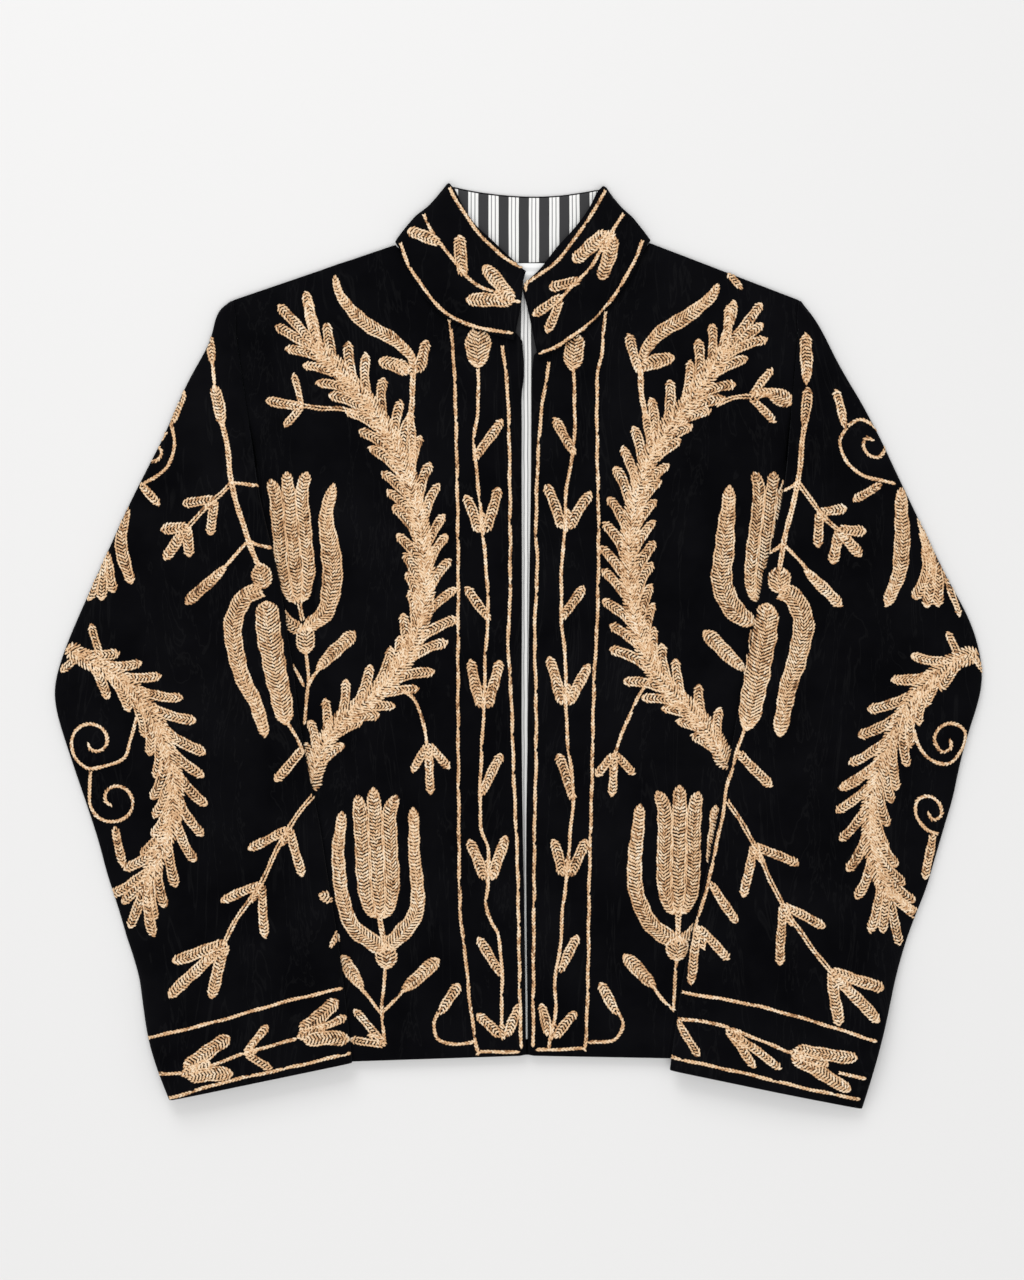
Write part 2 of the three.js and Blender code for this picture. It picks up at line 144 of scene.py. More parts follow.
# %% A big soft window light from the collar's side
def area_light(name, place, size, power):
    """A square light of a size in m and a power in W, turned to the middle of the jacket."""
    data = bpy.data.lights.new(name, "AREA")
    data.shape, data.size, data.energy = "SQUARE", size, power
    light = bpy.data.objects.new(name, data)
    light.location = place
    light.rotation_euler = (Vector((0, 0, 0)) - Vector(place)).to_track_quat("-Z", "Y").to_euler()
    scene.collection.objects.link(light)


area_light("window", (-0.7, 2.3, 1.9), 1.6, 38)
area_light("ceiling", (0.0, -0.9, 3.0), 2.4, 46)
world = bpy.data.worlds.new("white_room")
world.use_nodes = True
set_look(world.node_tree.nodes["Background"], {"Color": linear("#faf9f8"), "Strength": 0.6})
scene.world = world
scene.view_settings.view_transform = "Standard"

# %% [markdown]
# ## Black cotton velvet
# Velvet is a weave whose cut pile stands up like a lawn. Seen from above it swallows the light; seen
# along the surface, at a fold or an edge, the pile's tips catch it and look grey. A Principled shader
# does that with Sheen over a nearly black, rough base. Where the pile has been brushed or pressed it
# leans another way and catches more light, so wide soft patches and a few long marks of painted sheen lift the base
# colour a little.
# A noise's Scale is one over the size of its spots in metres, so 1 / 0.055 makes spots of 55 mm.

# %% Velvet material
velvet, tree, shader = new_material("black_cotton_velvet")
place = add_node(tree, "ShaderNodeTexCoord").outputs["Object"]
# Wide soft patches lift the near-black base colour a little: painted sheen where the pile was brushed or pressed.
sheen_patch_look = {"Scale": 1 / 0.055, "Detail": 3.0, "Roughness": 0.6}
sheen_patches = add_node(tree, "ShaderNodeTexNoise", sheen_patch_look, {"Vector": place})
sheen_mark_size = {"Scale": (1 / 0.03, 1 / 0.16, 1 / 0.03), "Rotation": (0, 0, 0.25)}
stretched = add_node(tree, "ShaderNodeMapping", sheen_mark_size, {"Vector": place})
sheen_mark_look = {"Scale": 1.0, "Detail": 4.0, "Roughness": 0.65, "Distortion": 1.2}
marks = add_node(tree, "ShaderNodeTexNoise", sheen_mark_look, {"Vector": stretched.outputs[0]})
# The thin pale lines are painted sheen along long marks in the brushed pile.
painted_sheen_lines = add_node(tree, "ShaderNodeValToRGB", links={"Fac": marks.outputs["Fac"]})
colour_stops(painted_sheen_lines, [(0.49, "#000000"), (0.505, "#5a5a5a"), (0.52, "#000000")])
pile_tone_and_sheen = add_node(tree, "ShaderNodeValToRGB", links={"Fac": sheen_patches.outputs["Fac"]})
colour_stops(pile_tone_and_sheen, [(0.35, "#020204"), (0.7, "#08080b")])
faint_sheen_marks = {"data_type": "RGBA", "blend_type": "ADD", 0: 0.025}
both_tones = {6: pile_tone_and_sheen.outputs["Color"], 7: painted_sheen_lines.outputs["Color"]}
base_with_painted_sheen = add_node(tree, "ShaderNodeMix", faint_sheen_marks, both_tones)
tree.links.new(base_with_painted_sheen.outputs[2], shader.inputs["Base Color"])
set_look(shader, {"Roughness": 0.92, "Specular IOR Level": 0.05, "Sheen Weight": 0.06})
set_look(shader, {"Sheen Roughness": 0.42, "Sheen Tint": linear("#a9adb8")})
# The real pile is 0.1 mm apart. It is drawn at 0.9 mm, the finest that shows from this height.
pile = add_node(tree, "ShaderNodeTexNoise", {"Scale": 1 / 0.0009, "Detail": 2.0}, {"Vector": place})
bump = add_node(tree, "ShaderNodeBump", {"Strength": 0.35, "Distance": 0.0003}, {"Height": pile.outputs["Fac"]})
tree.links.new(bump.outputs[0], shader.inputs["Normal"])
print("material:", velvet.name)

# %% [markdown]
# ## Velvet panels
# A cut piece of velvet is a wall 2 mm thick. The solid already has its outline and height, in cells of
# about 20 mm. The cloth is a copy of it: its triangles are joined to squares, its rim is creased so that
# the outline stays, and a Subdivision Surface makes cells of 5 mm. A cloth simulation could crumple it,
# but folds given one by one lie where they are wanted: one row of a table each, as soft ridges (height
# above 0) or troughs (below 0) with ends that fade.

# %% Folds of the velvet, in mm
# solid: from x, from y, to x, to y, half width, height
FOLDS = {
    "front_right": [
        (-186, 150, -178, 60, 7, -0.9),
        (-150, 258, -60, 236, 9, 0.7),
        (-104, 283, -150, 264, 7, 0.7),
        (-120, 120, -132, -30, 12, 0.6),
        (-60, -40, -75, -190, 14, -0.5),
        (-110, -200, -70, -290, 10, 0.7),
        (-30, 60, -26, -120, 9, 0.5),
        (-12, 150, -8, -20, 4, 0.4),
        (-150, 40, -120, -60, 10, 0.5),
    ],
    "front_left": [
        (150, 262, 70, 240, 9, 0.7),
        (110, 288, 160, 266, 7, 0.8),
        (118, 110, 128, -40, 12, 0.6),
        (70, -40, 78, -190, 14, -0.5),
        (100, -210, 64, -290, 10, 0.7),
        (34, 60, 30, -120, 9, 0.5),
        (152, 30, 128, -70, 10, 0.6),
    ],
    "sleeve_right": [
        (-240, 190, -210, 40, 13, 0.8),
        (-320, 30, -262, -28, 9, 0.9),
        (-336, -22, -226, -48, 8, -1.1),
        (-330, -70, -214, -76, 10, 1),
        (-208, -20, -178, -150, 9, 0.9),
        (-190, 60, -180, -40, 7, -0.7),
        (-305, -170, -232, -150, 9, -0.8),
        (-250, -130, -206, -260, 12, 0.8),
        (-282, -268, -150, -236, 8, 0.6),
        (-160, -190, -140, -290, 7, -0.6),
    ],
    "sleeve_left": [
        (232, 196, 204, 40, 13, 0.8),
        (318, 40, 256, -24, 9, 0.9),
        (334, -12, 224, -40, 8, -1.1),
        (326, -62, 210, -70, 10, 1),
        (204, -12, 172, -150, 9, 0.9),
        (186, 66, 176, -36, 7, -0.7),
        (302, -160, 228, -142, 9, -0.8),
        (246, -120, 200, -260, 12, 0.8),
        (276, -262, 140, -232, 8, 0.6),
        (152, -180, 128, -290, 7, -0.6),
    ],
    "collar": [
        (-60, 300, -66, 272, 7, 0.5),
        (72, 300, 66, 270, 7, 0.5),
        (-20, 282, -22, 248, 9, -0.4),
        (40, 286, 44, 252, 9, 0.4),
    ],
}
print("folds:", {node: len(rows) for node, rows in FOLDS.items()})


# %% The height of a fold
def fold_height(rows, x, y):
    """The height that a table of folds gives at points of the plan."""
    height = np.zeros_like(x)
    for from_x, from_y, to_x, to_y, half_width, rise in rows:
        along = np.array((to_x - from_x, to_y - from_y))
        length = np.linalg.norm(along)
        along = along / length
        at = (x - from_x) * along[0] + (y - from_y) * along[1]
        aside = (y - from_y) * along[0] - (x - from_x) * along[1]
        # The fold wanders a little, as cloth does.
        aside = aside + 0.25 * half_width * np.sin(at / 23.0)
        fade = np.exp(-(((at - length / 2) / (length / 2)) ** 4))
        height += rise * fade * np.exp(-((aside / half_width) ** 2))
    return height


collar_fold = fold_height(FOLDS["collar"][:1], np.array([-63.0]), np.array([286.0]))
print("height of a collar fold in mm:", round(float(collar_fold[0]), 2))


# %% Places where the cloth is pulled sideways a little, in mm
# solid: from x, from y, to x, to y, half width, across, up, lowest z that moves
PULLS = {
    "collar": [
        (-50, 336, -14, 286, 12, 3.4, 2.4, 5),
        (60, 336, 14, 272, 12, -3.8, 2.4, 5),
        (-86, 304, -78, 322, 9, -3.4, 1.0, 0),
        (94, 303, 86, 322, 9, 3.2, 1.0, 0),
    ],
    "back": [
        (-196, 200, -204, 120, 16, -4.5, 0, -1),
        (198, 200, 206, 120, 16, 4.5, 0, -1),
    ],
    "sleeve_right": [
        (-296, -175, -292, -213, 25, -3, -0.5, -1),
        (-217, 262, -215, 247, 8, 1.7, 0, 4.2),
    ],
    "sleeve_left": [
        (323, -121, 307, -175, 30, 3.5, -0.5, -1),
        (211, 262, 209, 247, 8, -1.7, 0, 4.2),
    ],
    "front_right": [(-6, 252, -4, 200, 8, 2.2, 0, -1)],
}
print("pulls:", {node: len(rows) for node, rows in PULLS.items()})


def points_of(mesh):
    """The points of a mesh as rows of x, y and z, in m."""
    points = np.empty(len(mesh.vertices) * 3)
    mesh.vertices.foreach_get("co", points)
    return points.reshape(-1, 3)


def move_points(mesh, points):
    """Puts the points of a mesh where the rows say."""
    mesh.vertices.foreach_set("co", points.ravel())
    mesh.update()


def pull_cloth(piece, rows):
    """Moves the cloth near each line of a table of pulls."""
    points = points_of(piece.data)
    for from_x, from_y, to_x, to_y, half_width, across, up, lowest in rows:
        start = np.array((from_x, from_y)) * MM
        along = np.array((to_x, to_y)) * MM - start
        share = np.clip((points[:, :2] - start) @ along / (along @ along), 0, 1)
        away = np.linalg.norm(points[:, :2] - start - share[:, None] * along, axis=1) / (half_width * MM)
        pull = np.exp(-(away**2)) * (points[:, 2] > lowest * MM)
        points[:, 0] += across * MM * pull
        points[:, 1] += up * MM * pull
    move_points(piece.data, points)


# %% Making a cloth from its solid
RIM_CREASE = 0.55
WELD = 2e-6  # m within which two points become one
FLAT_ENOUGH = math.radians(70)  # triangles that bend less than this are joined to squares
RIM_ANGLE = math.radians(58)  # edges that bend more than this are the rim
UPPER_LAYER = 3.4  # mm under the top face that still belong to the upper layer of cloth
LAYER_FADE = 1.2  # mm over which a fold dies out below that layer
ABOVE = 0.1  # m, from where rays start down


def cloth(name, node, material):
    """A finer cloth in the place of one solid, with its rim creased."""
    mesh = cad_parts[node].data.copy()
    piece = bpy.data.objects.new(name, mesh)
    scene.collection.objects.link(piece)
    mesh.materials.clear()
    mesh.materials.append(material)
    select_only(piece)
    bpy.ops.object.mode_set(mode="EDIT")
    bpy.ops.mesh.select_all(action="SELECT")
    bpy.ops.mesh.remove_doubles(threshold=WELD)
    bpy.ops.mesh.tris_convert_to_quads(face_threshold=FLAT_ENOUGH, shape_threshold=FLAT_ENOUGH)
    bpy.ops.mesh.select_all(action="DESELECT")
    bpy.ops.mesh.edges_select_sharp(sharpness=RIM_ANGLE)
    bpy.ops.transform.edge_crease(value=RIM_CREASE)
    bpy.ops.object.mode_set(mode="OBJECT")
    finer = piece.modifiers.new("finer", "SUBSURF")
    finer.levels = finer.render_levels = 2
    bpy.ops.object.modifier_apply(modifier=finer.name)
    bpy.ops.object.shade_smooth()
    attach(piece, "root")
    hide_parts(node)
    return piece


def fold_cloth(piece, rows):
    """Moves the upper layer of a piece by a table of folds."""
    mesh = piece.data
    points = points_of(mesh)
    top = BVHTree.FromPolygons([v.co for v in mesh.vertices], [p.vertices for p in mesh.polygons])
    depth = np.zeros(len(points))
    for i, (x, y, z) in enumerate(points):
        hit = top.ray_cast(Vector((x, y, ABOVE)), Vector((0, 0, -1)))[0]
        depth[i] = 0 if hit is None else (hit.z - z) / MM
    share = np.clip((UPPER_LAYER - depth) / LAYER_FADE + 0.5, 0, 1)
    lift = fold_height(rows, points[:, 0] / MM, points[:, 1] / MM)
    points[:, 2] += share * lift * MM
    move_points(mesh, points)
    print(piece.name, "folds in mm:", lift.min().round(2), lift.max().round(2))


# %% The six velvet pieces
VELVET_NODES = ("back", "front_right", "front_left", "sleeve_right", "sleeve_left", "collar")
panels = {node: cloth("velvet_" + node, node, velvet) for node in VELVET_NODES}
for node, piece in panels.items():
    pull_cloth(piece, PULLS.get(node, ()))
    if node in FOLDS:
        fold_cloth(piece, FOLDS[node])

# %% [markdown]
# ## Striped cotton lining
# The lining is a plain weave of black and white yarns. A dark band and a white band of about 7.6 mm each
# take turns, and two thin dark lines split each white band into three. The stripes run up the body, so
# the colour depends on the distance across, taken as a share of one repeat. Stripes that are worked out
# in this way stay sharp from close by, and a fine weave of yarns breaks them up.

# %% Lining material
REPEAT = 15.2  # mm from one dark band to the next
WHITE_START = 0.49  # share of a repeat at which the white band starts
STRIPES = [
    (0.0, "#2b2b2d"),
    (WHITE_START, "#f0f0ee"),
    (0.615, "#77777a"),
    (0.66, "#f4f4f2"),
    (0.80, "#77777a"),
    (0.845, "#f0f0ee"),
    (0.985, "#2b2b2d"),
]


def striped_cotton(name, first_white):
    """Stripes whose first white band starts at the distance first_white, in mm."""
    material, tree, shader = new_material(name)
    place = add_node(tree, "ShaderNodeTexCoord").outputs["Object"]
    wobble = add_node(tree, "ShaderNodeTexNoise", {"Scale": 1 / 0.03, "Detail": 1.0}, {"Vector": place})
    across = add_node(tree, "ShaderNodeSeparateXYZ", links={"Vector": place}).outputs["X"]
    to_repeats = {"operation": "MULTIPLY_ADD", 1: 1 / (REPEAT * MM), 2: WHITE_START - first_white / REPEAT}
    repeats = add_node(tree, "ShaderNodeMath", to_repeats, {0: across})
    wavering = {"operation": "MULTIPLY_ADD", 1: 0.05}
    wavy = add_node(tree, "ShaderNodeMath", wavering, {0: wobble.outputs["Fac"], 2: repeats.outputs[0]})
    share = add_node(tree, "ShaderNodeMath", {"operation": "FRACT"}, {0: wavy.outputs[0]})
    bands = add_node(tree, "ShaderNodeValToRGB", links={"Fac": share.outputs[0]})
    colour_stops(bands, STRIPES, "CONSTANT")
    # Yarns 0.4 mm apart cross each other. They are drawn 0.8 mm apart, which just shows.
    yarn_look = {"Scale": 1 / 0.0008, "Color1": linear("#ffffff"), "Color2": linear("#d6d6d6")}
    yarn = add_node(tree, "ShaderNodeTexChecker", yarn_look, {"Vector": place})
    crossing = {"data_type": "RGBA", "blend_type": "MULTIPLY", 0: 0.55}
    woven = add_node(tree, "ShaderNodeMix", crossing, {6: bands.outputs["Color"], 7: yarn.outputs["Color"]})
    tree.links.new(woven.outputs[2], shader.inputs["Base Color"])
    weave = {"Strength": 0.25, "Distance": 0.0002}
    bump = add_node(tree, "ShaderNodeBump", weave, {"Height": yarn.outputs["Fac"]})
    tree.links.new(bump.outputs[0], shader.inputs["Normal"])
    # Plain cotton is matt and a little fuzzy, so it has no bright spots.
    set_look(shader, {"Roughness": 0.78, "Sheen Weight": 0.05})
    return material


collar_cotton = striped_cotton("striped_cotton_of_the_collar", 7.1)
body_cotton = striped_cotton("striped_cotton_of_the_body", 1.2)
print("materials:", collar_cotton.name, body_cotton.name)

# %% The two lining pieces
lining_collar = cloth("lining_of_collar", "collar_lining", collar_cotton)
lining_back = cloth("lining_of_back", "back_lining", body_cotton)
print("lining faces:", len(lining_collar.data.polygons), len(lining_back.data.polygons))

# %% [markdown]
# ## The neck label
# A plain strip of white woven tape, turned under at its ends and sewn to the lining below the collar.
# It starts as a cube at its real size, is cut across so that it can arch a little, and its edges are
# bevelled. A plane would be lighter, but a tape has a thickness that casts a shadow. Its ribs are fine
# woven bands, and nothing else is woven into it.

# %% Label
ARCH = 0.35  # mm that the middle of the tape stands up
TURNED_END = 0.25  # mm that the folded ends stand up
END_PLACE, END_WIDTH = 0.42, 0.05  # where those folds lie, as shares of the length
low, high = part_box("neck_label")
size, middle = high - low, (low + high) / 2
bpy.ops.object.select_all(action="DESELECT")
bpy.ops.mesh.primitive_cube_add(size=1, location=middle, scale=size)
label = bpy.context.active_object
label.name = "tape_label"
bpy.ops.object.transform_apply(location=True, rotation=True, scale=True)
bpy.ops.object.mode_set(mode="EDIT")
bpy.ops.mesh.select_all(action="SELECT")
bpy.ops.mesh.subdivide(number_cuts=9)
bpy.ops.object.mode_set(mode="OBJECT")
for vertex in label.data.vertices:
    share = (vertex.co.x - middle.x) / size.x
    fold = TURNED_END * math.exp(-(((abs(share) - END_PLACE) / END_WIDTH) ** 2))
    vertex.co.z += (ARCH * math.cos(math.pi * share) + fold) * MM
bevel = label.modifiers.new("soft_edge", "BEVEL")
bevel.width, bevel.segments, bevel.limit_method = 0.25 * MM, 2, "ANGLE"
bpy.ops.object.modifier_apply(modifier=bevel.name)
bpy.ops.object.shade_smooth()
# White woven tape is dull, and shade is painted between its ribs as slightly grey bands.
white_tape, tree, shader = new_material("white_woven_tape")
place = add_node(tree, "ShaderNodeTexCoord").outputs["Object"]
# A Wave texture has 20 bands in one unit of its Scale. The ribs lie 0.9 mm apart.
rib_look = {"Scale": 1 / 0.0009 / 20, "bands_direction": "Y"}
ribs = add_node(tree, "ShaderNodeTexWave", rib_look, {"Vector": place})
# The darker bands of this ramp are painted shade between the ribs.
ribs_with_painted_shade = add_node(tree, "ShaderNodeValToRGB", links={"Fac": ribs.outputs["Fac"]})
colour_stops(ribs_with_painted_shade, [(0.2, "#dcdddd"), (0.8, "#f2f3f3")])
tree.links.new(ribs_with_painted_shade.outputs["Color"], shader.inputs["Base Color"])
set_look(shader, {"Roughness": 0.6})
label.data.materials.append(white_tape)
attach(label, "root")
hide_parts("neck_label")
print("label in mm:", [round(x / MM, 1) for x in size])

# %% [markdown]
# ## Chain stitch
# A hook pulls a loop of silk up through the velvet, and the next loop comes up inside it. Packed side by
# side, each loop shows as one plump slanting strand. The strands of one side lean left and those of
# the other lean right, so a stem looks like a plait and a leaf like a herringbone. Flat ribbons with a
# bump would be lighter, but only strands stand up from the pile and throw small shadows of their own.
# One strand is modelled once, as a three-sided bar with pointed ends. Arrays then copy it to every
# place, as one joined mesh for each panel.

# %% One strand
STITCH = 2.6  # mm from one strand to the next along a row
ROW = 2.1  # mm from one row to the next
CLOSEST = 0.7  # mm within which a later row leaves a strand out, because one is there already
STRAND = (2.0, 1.26, 0.45)  # half length, half width and half height
LEAN = 45.0  # degrees between a strand and its row
EDGE_LEAN = 0.4  # share of that lean in the two rows along a ribbon's edges
SPAN = 2.45  # mm that a leaning strand covers across its row
BAR = 0.9  # radius and length of the bar that a strand is made from, before it is sized

bpy.ops.object.select_all(action="DESELECT")
bpy.ops.mesh.primitive_cylinder_add(vertices=3, radius=BAR, depth=BAR, end_fill_type="TRIFAN")
strand = bpy.context.active_object
for vertex in strand.data.vertices:
    if math.hypot(vertex.co.x, vertex.co.y) < 0.1:  # the middle point of an end is drawn out to a tip
        vertex.co.z /= BAR / 2
bpy.ops.object.mode_set(mode="EDIT")
bpy.ops.mesh.select_all(action="SELECT")
bpy.ops.mesh.quads_convert_to_tris()
bpy.ops.transform.rotate(value=math.radians(90), orient_axis="X", center_override=(0, 0, 0))
bpy.ops.transform.rotate(value=math.radians(90), orient_axis="Z", center_override=(0, 0, 0))
bpy.ops.object.mode_set(mode="OBJECT")
strand_points = np.array([v.co[:] for v in strand.data.vertices])
if strand_points[:, 2].max() < 0.8:  # its crest, at 0.9, points down
    strand_points[:, 1:] *= -1  # half a turn about its length
strand_points *= STRAND
strand_faces = np.array([list(p.vertices) for p in strand.data.polygons])
bpy.data.objects.remove(strand)
# Light is painted into each strand's tone: a painted highlight along its crest, painted shade at its tips, and
# deeper painted shade where it turns down between its neighbours.
crest = strand_points[:, 2] > 0.5 * STRAND[2]
tips = np.abs(strand_points[:, 0]) > 0.9 * STRAND[0]
strand_painted_light = np.where(crest, 0.06, np.where(tips, -0.06, -0.26))
print("one strand:", len(strand_points), "points", len(strand_faces), "faces")

# %% [markdown]
# ## Rows and ribbons
# Everything in the pattern is a ribbon: a smooth line with a width. A stem is a ribbon two rows wide, a
# leaf is a short ribbon that swells and ends round, and a petal is a bent one. Rows follow the ribbon's
# sides and close up where it narrows, as a sewer's rows do. All sizes are in mm. The motifs are built
# up from ribbons: leaves and pods, then saw-edged leaves with barbs, then tulips.

# %% Ribbons
POINT_SPACING = 0.7  # mm between the points of a smooth line


def smooth_line(points):
    """A Catmull-Rom curve through the points, as close points."""
    points = np.array(points, float)
    if len(points) == 2:
        points = np.array((points[0], points.mean(axis=0), points[1]))
    ends = np.vstack((2 * points[0] - points[1], points, 2 * points[-1] - points[-2]))
    pieces = []
    for a, b, c, d in zip(ends, ends[1:], ends[2:], ends[3:]):
        count = max(2, int(np.linalg.norm(c - b) / POINT_SPACING))
        t = np.linspace(0, 1, count, endpoint=False)[:, None]
        squared, cubed = (2 * a - 5 * b + 4 * c - d) * t**2, (3 * b - a - 3 * c + d) * t**3
        pieces.append(0.5 * (2 * b + (c - a) * t + squared + cubed))
    return np.vstack(pieces + [points[-1:]])


def lengths_along(line):
    """The way along a line to each of its points."""
    return np.concatenate(((0,), np.cumsum(np.linalg.norm(np.diff(line, axis=0), axis=1))))


hand = random.Random(3)  # the small unevenness of sewing by hand


def ribbon(points, widths, round_start=True, round_end=True, edged=True):
    """A ribbon's rows, outermost first, each with the side its strands lean to."""
    points = np.array(points, float)
    line = smooth_line(points)
    at = lengths_along(line)
    marks = [at[int(np.argmin(np.linalg.norm(line - p, axis=1)))] for p in points[1:-1]]
    marks = np.array([0.0] + sorted(marks) + [at[-1]])
    width = np.interp(at, marks, np.broadcast_to(widths, len(points)))
    phase = hand.uniform(0, 6.28)
    # Hand sewing wavers: the width by 4 % and 0.18 mm here, and the whole line by 0.22 mm further down.
    width = width * (1 + 0.04 * np.sin(at / 2.3 + phase)) + 0.18 * np.sin(at / 3.7 + 2 * phase)
    reach = width.max() / 2
    for rounded, inward in ((round_start, at), (round_end, at[-1] - at)):
        if rounded:
            near = np.clip(inward / reach, 0, 1)
            width = width * np.sqrt(np.clip(1 - (1 - near) ** 2, 0, 1))
    way = np.gradient(line, axis=0)
    way /= np.linalg.norm(way, axis=1)[:, None] + 1e-9
    side = np.stack((-way[:, 1], way[:, 0]), axis=1)
    line = line + side * (0.22 * np.sin(at / 5.1 + 3 * phase))[:, None]
    half = np.clip((width - SPAN) / 2, 0, None)
    count = 1 + max(0, math.ceil((width.max() - SPAN) / ROW - 0.25))
    shares = np.linspace(-1, 1, count) if count > 1 else [0.0]
    leans = [(-1 if share > 0 else 1) * (EDGE_LEAN if edged and abs(share) == 1 else 1) for share in shares]
    outer_first = sorted(range(count), key=lambda i: -abs(shares[i]))
    return [(line + side * (half * shares[i])[:, None], leans[i]) for i in outer_first]


bow = smooth_line([(0, 0), (10, 5), (20, 0)])
print("a bow of 20 mm:", len(bow), "points,", round(float(lengths_along(bow)[-1]), 1), "mm along it")


# %% Stems, leaves and pods
STEM = 3.4  # mm, the usual width of a stem


def arrays(points):
    """Each point as numbers that can be added and scaled."""
    return [np.array(point, float) for point in points]


def stem(*points, width=STEM):
    """A line with blunt ends."""
    return ribbon(points, width, False, False)


def leaf(base, tip, width=7.6, bend=0.0, heel=0.75):
    """A leaf that ends round. bend moves its middle to the left, as a share of its length."""
    base, tip = arrays((base, tip))
    along = tip - base
    left = np.array((-along[1], along[0]))
    points = [base + along * t + left * bend * 4 * t * (1 - t) for t in (0, 0.35, 0.7, 1)]
    return ribbon(points, [heel * width, 0.95 * width, width, 0.92 * width])


def leaves(base, *tips, width=7.4):
    """Leaves that spring from one point, which is filled in where they part."""
    rows = [row for tip in tips for row in leaf(base, tip, width, heel=0.9)]
    base, middle = arrays((base, np.mean(arrays(tips), axis=0)))
    return rows + ribbon([base, base + 0.5 * (middle - base)], [width, 0.7 * width])


def cup(base, *tips, width=7.4, depth=0.52):
    """A pair of leaves that rise from one broad, rounded cup."""
    base, *tips = arrays((base, *tips))
    up = np.mean(tips, axis=0) - base
    height = np.linalg.norm(up)
    up /= height
    rows = []
    for tip in tips:
        out = tip - base - up * np.dot(tip - base, up)
        out /= np.linalg.norm(out) + 1e-9
        foot = base + up * 0.42 * width + out * 0.34 * width
        knee = base + up * depth * height + out * (0.30 * width + 0.36 * abs(np.dot(tip - base, out)))
        rows += ribbon([foot, knee, tip], [0.95 * width, 1.05 * width, 0.92 * width])
    return rows + ribbon([base + up, base + up * depth * height], [0.7 * width, 0.9 * width])


def pod(base, tip, width):
    """A bud or seed pod: narrow at its stem, full in its middle, blunt at its top."""
    base, tip = arrays((base, tip))
    points = [base + (tip - base) * t for t in (0, 0.25, 0.5, 0.85, 1)]
    return ribbon(points, [width * share for share in (0.45, 0.85, 1, 0.95, 0.8)])


def scroll(root, centre, start_radius, end_radius, start, turns):
    """A tendril that runs from its root into a coil. start is in degrees; turns above 0 go anticlockwise."""
    share = np.linspace(0, 1, 16)
    angles = np.radians(start + 360 * turns * share)
    radii = start_radius + (end_radius - start_radius) * share
    coil = np.stack((centre[0] + radii * np.cos(angles), centre[1] + radii * np.sin(angles)), axis=1)
    return ribbon(np.vstack((np.array(root, float).reshape(-1, 2), coil)), STEM, False, True)


print("a stem is", STEM, "mm wide, so its two rows lie", round(STEM - SPAN, 2), "mm apart")


# %% Saw-edged leaves
BARB_SPREAD = 29.0  # degrees between a barb and the spine
BARB_FLARE = 0.07  # share of its length by which a barb bends outwards
FIRST_BARB = 6.0  # mm from the foot


def feather(spine, crown, barb=40.0, width=8.5, spacing=17.4, fill=15.0):
    """A leaf whose barbs lean from its spine to its tip. crown has its last tips."""
    line = smooth_line(spine)
    at = lengths_along(line)
    # The broad middle is sewn first, from every twelfth point of the spine and its root.
    rows = ribbon(line[[*range(len(line) - 1, 6, -12), 0]], fill, edged=False)
    dice = random.Random(7)
    for side in (1, -1):
        place = FIRST_BARB + (0 if side > 0 else spacing / 2)
        while place < at[-1] - 4:
            i = int(np.searchsorted(at, place))
            way = line[min(i + 12, len(line) - 1)] - line[max(i - 4, 0)]
            share = place / at[-1]
            length = barb * (0.8 + 0.2 * min(1, share / 0.25)) * dice.uniform(0.93, 1.07)
            angle = math.atan2(way[1], way[0]) + side * math.radians(BARB_SPREAD * dice.uniform(0.9, 1.1))
            tip = line[i] + length * np.array((math.cos(angle), math.sin(angle)))
            rows += leaf(line[i], tip, width * dice.uniform(0.93, 1.06), bend=-BARB_FLARE * side, heel=0.6)
            place += spacing * dice.uniform(0.84, 1.16)
    for tip in crown:
        rows += leaf(line[-1] - 3 * (line[-1] - line[-4]), tip, width, heel=0.9)
    return rows


print("the first barb springs", FIRST_BARB, "mm from the foot, at about", BARB_SPREAD, "degrees")


# %% Tulips
PRONG = 9.4  # mm, the width of a tongue's tip
NECK = 15.0  # mm under its tip at which a tongue has its full width


def tulip(tips, foot, body):
    """A cup of three tongues, body wide, which part at the top and close in a rounded foot."""
    foot, *tips = arrays((foot, *tips))
    up = tips[1] - foot
    height = np.linalg.norm(up)
    up /= height
    left = np.array((-up[1], up[0]))
    rows = []
    for tip in (tips[0], tips[2], tips[1]):
        out = np.dot(tip - foot, left)
        turn = 0 if tip is tips[1] else math.copysign(1, out)
        top = np.dot(tip - foot, up)
        lane = body / 3 * turn
        course = [(top - NECK, 1.02), (0.5 * height, 1), (0.22 * height, 0.98), (0.06 * height, 0.62)]
        points = [tip] + [foot + up * rise + left * (lane * aside) for rise, aside in course + [(0, 0.22)]]
        full = body / 3 + 1.4
        rows += ribbon(points, [PRONG, full, full, body / 3 + 1.2, 0.28 * body, 0.18 * body])
    return rows


print("a tongue's tip is", PRONG, "mm wide and reaches its full width", NECK, "mm further down")
